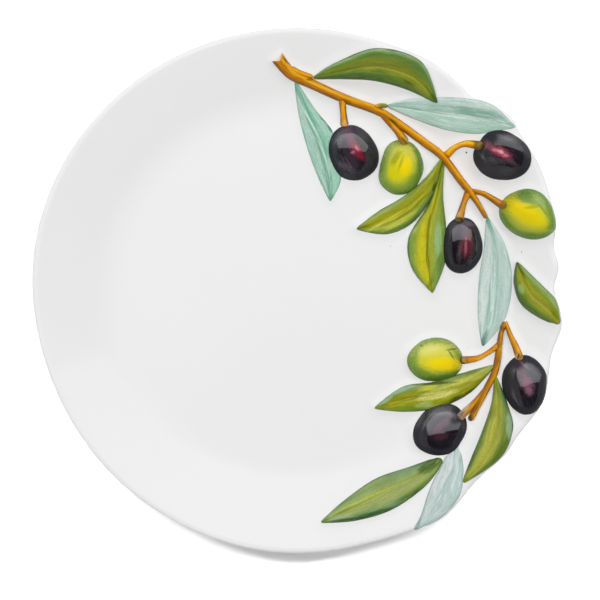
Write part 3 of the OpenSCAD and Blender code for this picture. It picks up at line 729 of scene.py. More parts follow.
# paint: colours across the leaf from its left to its right edge, then towards the tip, and dabs; some pale bands and
# dabs, marked below, are painted reflections and highlights, and some dark dabs are painted shadows
leafPaint = {
    "leaf_top": {
        "rib": 0.57, "line": (150, 148, 40), "lineWidth": 0.025, "ribShare": 0.45, "wander": 0.10, "fine": 0.4,
        "seed": 1.3, "dark": (76, 104, 40), "light": (152, 160, 74),
        "base": ((100, 128, 62), 0.05), "tip": ((70, 100, 30), 0.95),
        # the light stops at 0.04 and 0.10 here and at 0.05 in toTip are a painted reflection: a light band inside the
        # upper edge
        "across": [(0.0, (64, 92, 50)), (0.04, (150, 182, 130)), (0.10, (138, 170, 110)), (0.18, (98, 132, 58)),
                   (0.34, (118, 134, 44)), (0.5, (134, 140, 44)), (0.56, (142, 146, 36)), (0.61, (92, 120, 48)),
                   (0.8, (84, 116, 56)), (0.94, (76, 106, 52)), (1.0, (56, 82, 42))],
        "toTip": [(0.0, (60, 88, 44)), (0.05, (140, 174, 116)), (0.12, (108, 144, 82)), (0.24, (88, 122, 58)),
                  (0.4, (118, 132, 42)), (0.56, (140, 144, 34)), (0.66, (148, 150, 30)), (0.78, (104, 130, 44)),
                  (0.92, (84, 118, 48)), (1.0, (54, 84, 34))],
        "dabs": [(350, 75.5, 32, 2.6, 1, (74, 110, 62), 0.7), (345, 70, 20, 2.2, 16, (112, 128, 34), 0.6),
                 (395, 59, 24, 3.0, -12, (86, 120, 58), 0.6), (416, 70, 14, 3.0, -45, (88, 122, 58), 0.55),
                 (378, 61, 30, 3.4, 2, (132, 138, 50), 0.55), (392, 66, 26, 1.0, -6, (120, 112, 50), 0.4),
                 (366, 54.5, 26, 0.8, 10, (112, 132, 56), 0.5), (385, 74, 26, 0.9, -8, (124, 146, 70), 0.55),
                 (398, 82, 20, 3, -22, (92, 124, 50), 0.5), (411, 84, 8, 1.5, -28, (92, 84, 24), 0.75),
                 (421, 91, 9, 2.6, -38, (140, 150, 60), 0.55), (432, 95, 7, 3, -60, (96, 128, 34), 0.6),
                 (433, 97, 4, 1.6, -62, (66, 90, 20), 0.7)]},
    "leaf_top_left": {
        "rib": 0.52, "line": (214, 232, 224), "lineWidth": 0.025, "ribShare": 0.5, "wander": 0.12, "fine": 0.6,
        "seed": 4.1, "wash": 0.02, "dark": (106, 162, 138), "light": (208, 227, 218),
        "base": ((96, 164, 136), 0.08), "tip": ((104, 164, 138), 0.95),
        "across": [(0.0, (110, 164, 138)), (0.06, (160, 202, 184)), (0.25, (168, 206, 190)),
                   (0.42, (128, 184, 158)), (0.49, (106, 168, 140)), (0.53, (204, 226, 216)),
                   (0.58, (128, 176, 156)), (0.68, (178, 206, 194)), (0.88, (174, 206, 192)),
                   (0.96, (150, 194, 172)), (1.0, (116, 166, 142))],
        "toTip": [(0.0, (112, 164, 138)), (0.06, (154, 204, 180)), (0.25, (158, 206, 182)), (0.42, (132, 190, 162)),
                  (0.5, (110, 172, 142)), (0.56, (160, 204, 182)), (0.62, (116, 168, 144)), (0.74, (176, 206, 192)),
                  (0.9, (170, 204, 188)), (0.96, (150, 194, 172)), (1.0, (112, 162, 138))],
        "dabs": [(298, 92, 11, 1.8, -62, (86, 160, 128), 0.85), (309, 113, 16, 2.4, -58, (96, 168, 136), 0.75),
                 (318, 128, 12, 2.2, -56, (124, 180, 156), 0.6), (309, 118, 22, 0.9, -61, (214, 232, 224), 0.8),
                 (321, 146, 16, 0.9, -68, (206, 226, 216), 0.7), (313, 130, 16, 1.0, -64, (104, 160, 138), 0.7),
                 (323, 158, 20, 1.2, -72, (98, 158, 132), 0.65), (330, 186, 14, 1.4, -84, (92, 154, 124), 0.75),
                 (327, 183, 14, 1.0, -70, (104, 160, 134), 0.6), (335, 182, 12, 3, 80, (164, 212, 186), 0.5),
                 (303, 118, 22, 3, -78, (184, 210, 198), 0.5), (312, 150, 20, 3.5, -70, (160, 196, 182), 0.5),
                 (328, 124, 7, 1.2, -48, (70, 104, 88), 0.8), (331, 128, 4, 1.8, -60, (52, 70, 66), 0.85),
                 (330, 166, 8, 3, -78, (184, 212, 198), 0.7), (323, 119, 4, 0.8, -40, (80, 130, 104), 0.7),
                 (331, 197, 4, 2, 60, (98, 156, 130), 0.7)]},
    "leaf_top_right": {
        "rib": 0.55, "line": (222, 234, 228), "lineWidth": 0.025, "ribShare": 0.5, "wander": 0.10, "fine": 0.65,
        "seed": 7.7, "wash": 0.09, "dark": (114, 162, 144), "light": (220, 234, 227),
        "base": ((146, 190, 178), 0.1), "tip": ((150, 194, 178), 0.97),
        "across": [(0.0, (154, 184, 174)), (0.05, (208, 224, 218)), (0.2, (196, 216, 208)), (0.38, (174, 204, 190)),
                   (0.5, (140, 184, 166)), (0.55, (214, 230, 222)), (0.6, (172, 204, 190)), (0.75, (186, 214, 200)),
                   (0.9, (186, 214, 200)), (0.97, (184, 208, 198)), (1.0, (156, 190, 176))],
        "toTip": [(0.0, (150, 176, 168)), (0.05, (202, 220, 212)), (0.18, (184, 208, 196)), (0.36, (152, 188, 170)),
                  (0.49, (118, 166, 146)), (0.55, (218, 232, 224)), (0.6, (160, 198, 180)), (0.76, (186, 216, 200)),
                  (0.9, (176, 212, 192)), (0.97, (166, 206, 186)), (1.0, (140, 184, 166))],
        "dabs": [(398, 104, 12, 1.6, 4, (112, 166, 150), 0.75), (418, 103, 16, 2.2, 2, (140, 184, 172), 0.5),
                 (436, 107, 12, 2, -8, (132, 174, 162), 0.5), (474, 111, 28, 2.8, -10, (108, 156, 140), 0.85),
                 (492, 115, 14, 1.8, -16, (112, 160, 144), 0.6), (465, 116, 36, 0.8, -9, (220, 234, 228), 0.8),
                 (480, 120, 24, 0.9, -10, (116, 166, 146), 0.6), (452, 102, 26, 2.4, -2, (186, 208, 202), 0.5),
                 (485, 104, 14, 1.4, -22, (200, 216, 212), 0.5), (450, 122, 34, 3.4, -8, (180, 212, 200), 0.5),
                 (478, 130, 26, 2, -1, (158, 206, 184), 0.6), (425, 114, 18, 2.4, -14, (160, 202, 186), 0.5),
                 (505, 124, 8, 1.4, -30, (204, 222, 214), 0.5), (511, 125, 5, 1.4, -20, (118, 168, 150), 0.6)]},
    "leaf_center_left": {
        "rib": 0.52, "line": (150, 148, 24), "lineWidth": 0.03, "ribShare": 0.3, "wander": 0.10, "fine": 0.45,
        "seed": 2.2, "dark": (112, 124, 14), "light": (190, 186, 46),
        "base": ((126, 150, 48), 0.06), "tip": ((110, 118, 24), 0.95),
        "across": [(0.0, (72, 106, 60)), (0.1, (98, 134, 66)), (0.22, (120, 142, 52)), (0.36, (150, 154, 36)),
                   (0.45, (132, 134, 16)), (0.5, (180, 176, 34)), (0.58, (150, 152, 30)), (0.78, (138, 146, 38)),
                   # the pale stop at 0.97 here and in toTip is a painted sheen along the upper edge
                   (0.92, (142, 160, 68)), (0.97, (158, 182, 112)), (1.0, (104, 136, 80))],
        "toTip": [(0.0, (70, 106, 58)), (0.12, (104, 140, 64)), (0.26, (172, 184, 88)), (0.38, (150, 154, 34)),
                  (0.45, (136, 138, 14)), (0.5, (204, 200, 46)), (0.58, (160, 160, 26)), (0.78, (146, 150, 30)),
                  (0.92, (140, 160, 64)), (0.97, (160, 184, 116)), (1.0, (100, 132, 78))],
        "dabs": [(388, 214, 20, 2.2, 33, (140, 144, 22), 0.6), (412, 196, 16, 2.4, 42, (146, 150, 24), 0.55),
                 (398, 222.5, 16, 2.6, 30, (198, 202, 80), 0.85, 0.4), (411, 214.5, 7, 2, 40, (180, 186, 66), 0.65),
                 (391, 217.5, 17, 1.1, 31, (218, 212, 76), 0.9, 0.4),
                 (415, 202, 10, 1.0, 40, (208, 202, 50), 0.8, 0.4),
                 (404.5, 214.5, 11, 1.0, 35, (120, 124, 6), 0.9, 0.4),
                 (422, 199.8, 13, 1.0, 44, (118, 124, 8), 0.85, 0.4),
                 (376, 226.5, 10, 1.3, 28, (206, 204, 84), 0.75), (364, 227, 7, 2.0, 10, (104, 120, 20), 0.75),
                 (411, 223, 16, 2.0, 42, (72, 110, 60), 0.75), (392, 231.8, 16, 1.6, 12, (88, 122, 60), 0.65),
                 # the first dab on the next line, a pale line along the upper edge, is a painted sheen
                 (385, 210.8, 22, 0.8, 32, (164, 188, 120), 0.6), (418, 185.8, 16, 0.8, 44, (108, 142, 70), 0.5),
                 (433, 172, 10, 2.4, 56, (174, 182, 66), 0.65), (437, 175, 10, 0.8, 66, (100, 116, 22), 0.65),
                 (426, 188, 10, 1.6, 52, (176, 176, 40), 0.5),
                 (434.6, 186.6, 5, 1.5, 68, (52, 76, 16), 0.95, 0.35)]},
    "leaf_center": {
        "rib": 0.5, "line": (126, 126, 24), "lineWidth": 0.022, "ribShare": 0.6, "wander": 0.10, "fine": 0.4,
        "seed": 5.9, "dark": (116, 134, 32), "light": (196, 192, 74),
        "base": ((100, 124, 50), 0.08), "tip": ((118, 130, 30), 0.96),
        "across": [(0.0, (92, 116, 54)), (0.1, (120, 148, 60)), (0.3, (150, 162, 60)), (0.45, (170, 170, 44)),
                   (0.52, (132, 130, 26)), (0.58, (190, 182, 36)), (0.74, (166, 166, 34)), (0.9, (120, 146, 62)),
                   (1.0, (78, 112, 58))],
        "toTip": [(0.0, (84, 122, 62)), (0.1, (110, 152, 76)), (0.28, (142, 164, 76)), (0.44, (164, 168, 52)),
                  (0.5, (128, 130, 24)), (0.56, (206, 198, 34)), (0.7, (196, 190, 36)), (0.84, (142, 162, 66)),
                  (0.95, (116, 152, 80)), (1.0, (82, 122, 66))],
        # the pale sage dab at (438.5, 238) is a painted sheen
        "dabs": [(438.5, 238, 17, 3.6, 88, (152, 188, 134), 0.85, 0.3),
                 (441, 262, 9, 3.5, 80, (74, 112, 60), 0.7, 0.5), (436, 272, 14, 3, 72, (104, 146, 66), 0.6),
                 (423, 243, 24, 2.4, 88, (208, 198, 34), 0.75), (420, 268, 14, 2.4, -70, (200, 192, 44), 0.6),
                 (429, 236, 26, 0.9, 86, (126, 128, 24), 0.75), (431, 232, 22, 0.9, 85, (200, 196, 60), 0.5),
                 (413, 231, 6, 2.2, 40, (172, 196, 124), 0.6), (412, 252, 16, 2, 88, (120, 156, 76), 0.6),
                 (440, 178, 16, 1.4, 84, (88, 112, 40), 0.65), (437, 200, 20, 2, 80, (178, 176, 48), 0.5),
                 (430, 285, 8, 2, 60, (128, 128, 24), 0.7)]},
    "leaf_middle": {
        "rib": 0.48, "line": (212, 230, 222), "lineWidth": 0.025, "ribShare": 0.5, "wander": 0.12, "fine": 0.65,
        "seed": 9.4, "wash": 0.09, "dark": (134, 176, 164), "light": (226, 235, 231),
        "base": ((84, 150, 130), 0.08), "tip": ((74, 132, 116), 0.98),
        "across": [(0.0, (150, 186, 174)), (0.06, (194, 214, 206)), (0.25, (190, 212, 203)),
                   (0.42, (180, 206, 196)), (0.48, (140, 182, 168)), (0.52, (216, 232, 225)),
                   (0.57, (148, 190, 174)), (0.66, (202, 218, 211)), (0.85, (210, 223, 218)),
                   (0.95, (192, 212, 205)), (1.0, (154, 190, 178))],
        "toTip": [(0.0, (142, 180, 168)), (0.06, (186, 208, 200)), (0.25, (184, 207, 199)), (0.42, (178, 204, 195)),
                  (0.48, (142, 186, 170)), (0.53, (212, 229, 222)), (0.58, (140, 184, 168)),
                  (0.68, (206, 220, 215)), (0.86, (214, 225, 221)), (0.95, (192, 212, 206)),
                  (1.0, (148, 186, 175))],
        "dabs": [(504, 270, 30, 4, 88, (176, 204, 194), 0.5), (500, 300, 24, 1.0, 84, (158, 192, 182), 0.5),
                 (506, 285, 22, 1, 88, (196, 214, 208), 0.5), (484, 292, 22, 3, 88, (208, 222, 218), 0.6),
                 (496, 330, 16, 3, 60, (164, 194, 184), 0.5), (490, 225, 9, 1.9, -68, (82, 150, 128), 0.85),
                 (494, 240, 10, 1.2, -76, (96, 158, 138), 0.75), (496, 262, 16, 0.9, -86, (120, 172, 154), 0.6),
                 (492, 275, 30, 0.8, 89, (212, 230, 222), 0.7), (493.5, 300, 22, 0.8, 86, (206, 226, 218), 0.6),
                 (490, 295, 24, 0.8, 86, (120, 170, 154), 0.6), (487, 318, 16, 0.9, 78, (134, 178, 164), 0.6),
                 (485.5, 337, 7, 2.6, 70, (74, 134, 116), 0.9), (484, 341, 5, 2.2, 72, (52, 112, 98), 0.85, 0.4),
                 (481, 334, 10, 1.0, 88, (120, 172, 154), 0.6)]},
    "leaf_rim": {
        "rib": 0.5, "line": (150, 150, 30), "lineWidth": 0.025, "ribShare": 0.2, "wander": 0.12, "fine": 0.4,
        "seed": 3.3, "dark": (92, 114, 24), "light": (176, 174, 60),
        "base": ((126, 134, 10), 0.04), "tip": ((66, 96, 48), 0.95),
        "across": [(0.0, (58, 92, 56)), (0.1, (82, 116, 60)), (0.24, (122, 144, 56)), (0.42, (160, 160, 34)),
                   (0.58, (150, 152, 36)), (0.74, (132, 146, 46)), (0.88, (136, 164, 78)), (0.96, (126, 156, 74)),
                   (1.0, (84, 116, 66))],
        "toTip": [(0.0, (62, 94, 62)), (0.14, (86, 116, 62)), (0.28, (124, 142, 48)), (0.46, (150, 152, 26)),
                  (0.6, (146, 148, 28)), (0.76, (120, 142, 46)), (0.9, (124, 156, 70)), (1.0, (84, 116, 58))],
        "dabs": [(533, 292, 20, 3.4, -50, (168, 168, 46), 0.65), (541, 305, 12, 2.5, -45, (150, 140, 46), 0.5),
                 # the pale green dabs at (521.5, 289), (536, 281) and (552, 300) are a painted highlight and painted
                 # sheen along the edges
                 (521.5, 289, 5, 2.6, -70, (156, 184, 116), 0.8, 0.4), (524, 298, 7, 2, -55, (96, 126, 48), 0.6),
                 (521, 270, 8, 1.3, -60, (84, 92, 14), 0.85, 0.4), (536, 281, 20, 1.8, -45, (146, 176, 112), 0.7),
                 (552, 300, 10, 2, -58, (140, 170, 104), 0.6), (556, 315, 6, 4, -50, (124, 134, 12), 0.85, 0.4),
                 (530, 309, 12, 1.6, -38, (72, 104, 60), 0.6)]},
    "leaf_lower_left": {
        "rib": 0.5, "line": (150, 148, 30), "lineWidth": 0.025, "ribShare": 0.3, "wander": 0.12, "fine": 0.5,
        "seed": 6.6, "dark": (116, 130, 26), "light": (196, 194, 88),
        "base": ((150, 172, 84), 0.06), "tip": ((132, 146, 40), 0.95),
        "across": [(0.0, (64, 86, 28)), (0.08, (92, 112, 24)), (0.25, (150, 152, 24)), (0.45, (160, 160, 30)),
                   # the pale stop at 0.93 here and in toTip is a painted reflection along the upper edge
                   (0.6, (188, 188, 72)), (0.8, (160, 172, 70)), (0.93, (122, 150, 84)), (1.0, (78, 106, 58))],
        "toTip": [(0.0, (70, 100, 40)), (0.1, (120, 146, 40)), (0.3, (150, 154, 20)), (0.5, (152, 154, 12)),
                  (0.65, (128, 140, 24)), (0.8, (118, 142, 60)), (0.93, (142, 172, 130)), (1.0, (90, 126, 88))],
        # the bright patch at (437, 395) is a painted reflection; the pale bands at (405, 388.5) and (385, 402) are a
        # painted reflection along the upper edge
        "dabs": [(437, 395, 20, 4.2, 12, (216, 214, 120), 0.95, 0.3),
                 (405, 388.5, 15, 2.6, 24, (146, 180, 148), 0.95, 0.3),
                 (385, 402, 9, 2, 38, (150, 180, 140), 0.8, 0.4),
                 (405, 398, 16, 3.2, 20, (150, 148, 14), 0.85, 0.45), (396, 404, 12, 2.4, 12, (180, 178, 20), 0.75),
                 (402, 402.5, 18, 0.9, 16, (112, 108, 12), 0.75),
                 (429, 388, 10, 2.4, 12, (204, 198, 40), 0.85, 0.4),
                 (469, 388, 9, 4, 30, (142, 144, 10), 0.9, 0.35), (478, 382, 9, 2.4, 36, (126, 132, 14), 0.8, 0.4),
                 (468, 380, 14, 2.2, 14, (198, 196, 88), 0.85, 0.4), (486, 371, 7, 2, 26, (172, 190, 104), 0.75),
                 # the dark dab on the next line is a painted shadow beneath the green olive; the dark dabs at (466,
                 # 395.5) and (457, 398.8) are a painted shadow along the lower edge by the black olive
                 (436, 383.6, 20, 1.4, 3, (72, 88, 40), 0.9, 0.4),
                 (466, 395.5, 18, 2.4, 33, (54, 66, 20), 0.95, 0.4),
                 (457, 398.8, 7, 2.6, 25, (46, 60, 20), 0.8, 0.4), (472, 373, 7, 1.6, 18, (112, 124, 24), 0.7, 0.4),
                 (424, 405.5, 9, 3, 8, (174, 198, 120), 0.75, 0.4), (410, 409.5, 16, 1.6, 2, (108, 146, 60), 0.75),
                 (450, 386, 14, 0.8, 16, (222, 218, 110), 0.6), (440, 391, 18, 0.7, 12, (160, 158, 56), 0.65),
                 (430, 398.5, 12, 0.6, 14, (164, 154, 56), 0.55), (383, 407, 6, 1.6, 20, (96, 116, 30), 0.6)]},
    "leaf_lower_right": {
        "rib": 0.55, "line": (150, 146, 40), "lineWidth": 0.025, "ribShare": 0.35, "wander": 0.12, "fine": 0.4,
        "seed": 8.2, "dark": (102, 124, 38), "light": (188, 186, 92),
        "base": ((140, 150, 36), 0.05), "tip": ((112, 138, 38), 0.96),
        "across": [(0.0, (60, 92, 50)), (0.1, (84, 116, 62)), (0.26, (116, 138, 60)), (0.42, (160, 166, 60)),
                   (0.58, (150, 156, 44)), (0.76, (126, 146, 50)), (0.9, (104, 134, 56)), (1.0, (70, 100, 46))],
        "toTip": [(0.0, (58, 88, 40)), (0.1, (82, 110, 40)), (0.26, (110, 132, 36)), (0.44, (160, 164, 54)),
                  (0.6, (182, 180, 66)), (0.76, (148, 158, 52)), (0.9, (110, 136, 52)), (1.0, (66, 96, 42))],
        "dabs": [(504, 400, 13, 2.4, -66, (78, 110, 60), 0.7), (496, 388, 9, 3, 80, (140, 150, 30), 0.6),
                 (495, 404, 9, 3, 84, (176, 178, 64), 0.6), (491, 430, 18, 4, 72, (196, 192, 78), 0.65),
                 # the pale sage dab at (509, 426) is a painted reflection
                 (494, 412, 6, 2, 75, (142, 142, 20), 0.7), (509, 426, 13, 3.2, 90, (142, 174, 136), 0.85, 0.35),
                 (484, 452, 18, 4, 60, (178, 180, 72), 0.6), (499, 452, 14, 2.6, 58, (82, 110, 36), 0.7),
                 (486, 470, 12, 2, 42, (84, 112, 40), 0.6), (480, 440, 18, 1.6, 70, (102, 134, 60), 0.6),
                 (468, 476, 7, 3, 40, (160, 166, 56), 0.6), (465, 480, 3, 2, 40, (110, 140, 36), 0.7),
                 (492, 422, 20, 0.8, 76, (150, 146, 40), 0.5)]},
    "leaf_bottom": {
        "rib": 0.52, "line": (190, 194, 90), "lineWidth": 0.02, "ribShare": 0.5, "wander": 0.12, "fine": 0.35,
        "seed": 1.9, "dark": (92, 130, 68), "light": (176, 184, 116),
        "base": ((84, 114, 32), 0.06), "tip": ((100, 136, 48), 0.96),
        "across": [(0.0, (58, 88, 36)), (0.08, (96, 126, 58)), (0.25, (156, 168, 88)), (0.42, (160, 168, 94)),
                   (0.52, (150, 164, 88)), (0.7, (142, 162, 96)), (0.86, (122, 154, 100)), (0.95, (104, 140, 84)),
                   (1.0, (64, 98, 60))],
        "toTip": [(0.0, (40, 70, 36)), (0.1, (70, 106, 64)), (0.22, (128, 156, 100)), (0.4, (158, 170, 92)),
                  (0.52, (160, 172, 84)), (0.72, (158, 174, 94)), (0.88, (124, 156, 90)), (0.96, (100, 136, 76)),
                  (1.0, (62, 96, 56))],
        "dabs": [(430, 466, 13, 5.4, 32, (66, 100, 24), 0.92, 0.3), (437, 462, 6, 3, 42, (54, 92, 22), 0.7, 0.4),
                 (424, 468, 7, 2, 28, (60, 92, 30), 0.7), (438, 461, 3, 1, 50, (150, 176, 110), 0.6),
                 (384, 484, 14, 4, 28, (122, 138, 70), 0.5), (400, 485, 26, 1.2, 26, (176, 182, 104), 0.5),
                 (365, 488, 22, 2, 30, (176, 186, 108), 0.5), (402, 472, 16, 2, 24, (126, 160, 110), 0.5),
                 (370, 497, 32, 0.9, 24, (190, 194, 84), 0.8), (345, 510.5, 12, 1.2, 26, (118, 136, 30), 0.6),
                 # the dark dabs at (375, 513) and (345, 519.5) are a painted shadow along the lower edge
                 (388, 507, 18, 2.6, 24, (126, 158, 112), 0.6), (375, 513, 18, 1.6, 16, (44, 78, 40), 0.8, 0.5),
                 (338, 517, 12, 2.2, 14, (156, 178, 148), 0.7, 0.5),
                 (345, 519.5, 16, 1.0, 6, (40, 56, 36), 0.7, 0.5), (325, 520.5, 4, 2, 30, (110, 146, 44), 0.8)]},
    "leaf_bottom_rim": {
        "rib": 0.5, "line": (214, 224, 224), "lineWidth": 0.025, "ribShare": 0.3, "wander": 0.14, "fine": 0.75,
        "seed": 5.1, "wash": 0.1, "dark": (142, 174, 168), "light": (236, 241, 241),
        "base": ((178, 202, 200), 0.06), "tip": ((136, 168, 160), 0.97),
        "across": [(0.0, (130, 168, 158)), (0.08, (176, 198, 194)), (0.25, (196, 210, 208)),
                   (0.42, (186, 202, 200)), (0.48, (156, 184, 178)), (0.54, (206, 218, 216)),
                   (0.7, (204, 216, 214)), (0.9, (196, 208, 208)), (1.0, (172, 192, 190))],
        "toTip": [(0.0, (140, 172, 166)), (0.08, (170, 194, 188)), (0.25, (184, 200, 198)), (0.42, (174, 194, 190)),
                  (0.5, (158, 184, 178)), (0.56, (200, 212, 210)), (0.75, (192, 206, 204)), (0.92, (176, 196, 192)),
                  (1.0, (130, 164, 156))],
        "dabs": [(434, 486, 14, 3, 62, (214, 222, 222), 0.6), (452, 468, 14, 3, 66, (210, 220, 220), 0.5),
                 (440, 515, 12, 2, 35, (176, 194, 192), 0.6), (461, 459, 6, 1.8, 78, (126, 168, 152), 0.8),
                 (447, 480, 16, 1.2, 60, (142, 176, 170), 0.75), (440, 494, 14, 1.1, 58, (146, 178, 174), 0.7),
                 (453, 488, 18, 1.0, 68, (160, 188, 184), 0.6), (448, 503, 14, 1.4, 56, (158, 186, 180), 0.6),
                 (432, 510, 14, 1.2, 50, (150, 178, 172), 0.6), (418.5, 523, 7, 1.4, 68, (112, 152, 142), 0.85),
                 (456, 476, 8, 0.8, 74, (206, 226, 228), 0.6)]},
}


def leafMaterial(name, length, width):
    look = leafPaint[name]
    material, tree, shader = newGlaze(name + "Paint", leafForm["ior"])
    along, across = paintCoordinates(tree)
    strokes = useGroup(
        tree, brushStrokes, Along=along, Across=across, Length=length * 1000, Width=width * 1000, Seed=look["seed"])
    fine = strokes["Fine"]
    wander = times(tree, minus(tree, strokes["Broad"], 0.5), look["wander"])
    place = calc(tree, "ADD", across, wander)
    toTip = fade(tree, timesPlus(tree, strokes["Blot"], leafBrush["toTipBlot"], along), *leafBrush["toTip"])
    color = mixColor(tree, toTip, colorRamp(tree, place, look["across"]), colorRamp(tree, place, look["toTip"]))
    color = addDabs(tree, color, look["dabs"])
    streak = look["fine"] * leafBrush["streak"]
    for mark, span, share, tint in (
            (fine, "darkStreak", streak, "dark"), (fine, "lightStreak", streak, "light"),
            (strokes["Grain"], "speckFrom", leafBrush["speck"], "dark")):
        color = mixColor(tree, times(tree, fade(tree, mark, *leafBrush[span]), share), color, paint(*look[tint]))
    if "wash" in look:  # the white body shows through
        color = mixColor(tree, look["wash"], color, paint(*dishLook["glaze"]))
    shade, reach = look["base"]
    end, start = (reach * share for share in leafBrush["baseSoft"])
    atBase = fade(tree, timesPlus(tree, strokes["Broad"], reach * leafBrush["baseStreak"], along), end, start)
    color = mixColor(tree, atBase, color, paint(*shade))
    shade, reach = look["tip"]
    atTip = fade(tree, along, reach - leafBrush["tipSoft"], min(reach + leafBrush["tipSoft"], 1.0))
    color = mixColor(tree, atTip, color, paint(*shade))
    ribPlace = timesPlus(tree, wander, leafBrush["ribWander"], look["rib"])
    ribGap = calc(tree, "ABSOLUTE", minus(tree, across, ribPlace))
    ribLine = fade(tree, ribGap, look["lineWidth"], look["lineWidth"] * leafBrush["ribCore"])
    ribLine = times(tree, ribLine, fade(tree, along, *leafBrush["ribEnd"]))
    color = mixColor(tree, times(tree, ribLine, look["ribShare"]), color, paint(*look["line"]))
    sides = calc(tree, "MINIMUM", across, minus(tree, 1.0, across))
    border = fade(tree, timesPlus(tree, fine, leafBrush["borderStreak"], sides), *leafBrush["borderWidth"])
    color = mixColor(tree, times(tree, border, leafBrush["border"]), color, paint(*look["across"][0][1]))
    finishGlaze(tree, shader, color, leafForm, fine)
    return material


def buildLeaf(name):
    rib, form = leafPaint[name]["rib"], leafForm["pale" if name in paleLeaves else "green"]
    crowd = leafForm["rowCrowd"]  # rows closer at both ends
    t = 0.5 - 0.5 * np.cos(np.linspace(0, math.pi, leafForm["rows"]))
    t = crowd * t + (1 - crowd) * np.linspace(0, 1, leafForm["rows"])
    half = np.array(leafForm["halfShares"])
    shares = np.concatenate([half, 1 - half[-2::-1]])
    shares = np.where(shares < 0.5, shares * 2 * rib, rib + (shares - 0.5) * 2 * (1 - rib))
    left, right = leafRows(name, t)
    plan = left[:, None] * (1 - shares[None, :, None]) + right[:, None] * shares[None, :, None]
    middle, wide = (left + right) / 2, np.linalg.norm(left - right, axis=1) / 2
    ahead = np.gradient(middle, axis=0)
    ahead /= np.linalg.norm(ahead, axis=1)[:, None]
    bow = leafForm["endBow"] - np.sqrt(np.clip(1 - (2 * shares - 1) ** 2, 0, 1))
    for row, sign in ((0, 1), (-1, -1)):  # rounded ends
        reach = leafForm["endReach"] * wide[row]
        near = np.clip(1 - np.linalg.norm(middle - middle[row], axis=1) / reach, 0, 1)
        plan = plan + ahead[:, None] * (sign * wide[row] * near[:, None] * bow[None])[..., None]
    border = np.concatenate([plan[:-1, 0], plan[-1, :-1], plan[:0:-1, -1], plan[0, :0:-1]])
    inside = np.maximum(-gapToOutline(plan.reshape(-1, 2), border), 0).reshape(plan.shape[:2])
    fromRib = np.where(shares < rib, (rib - shares) / rib, (shares - rib) / (1 - rib))[None, :]
    body = (np.sin(math.pi * t).clip(0) ** 0.5)[:, None]
    fromEdge = np.clip(inside / leafForm["edgeRound"], 0, 1)
    lap = reliefSeat["lap"]
    height = leafSlip(name)[0] - lap + (form["edge"] + lap) * np.sqrt(1 - (1 - fromEdge) ** 2)
    height = height + form["crown"] * body * (1 - fromRib ** leafForm["crownPower"])
    height = height + form["pillow"] * body * np.sin(math.pi * fromRib)
    height = height - form["groove"] * body * np.exp(-(fromRib / leafForm["grooveWidth"] / 2) ** 2)
    if name in leafLift:
        start, end, lift = leafLift[name]
        height = height + lift * smooth(start, end, t)[:, None]
    uv = np.stack(np.broadcast_arrays(t[:, None], shares[None, :]), -1)
    length = np.linalg.norm(np.diff(middle, axis=0), axis=1).sum()
    gridPiece(name, plan, dishTop(plan) + height, uv, leafMaterial(name, length, wide.max() * 2))


for leafName in leafEdges:
    buildLeaf(leafName)
print("leaves made:", len(leafEdges))
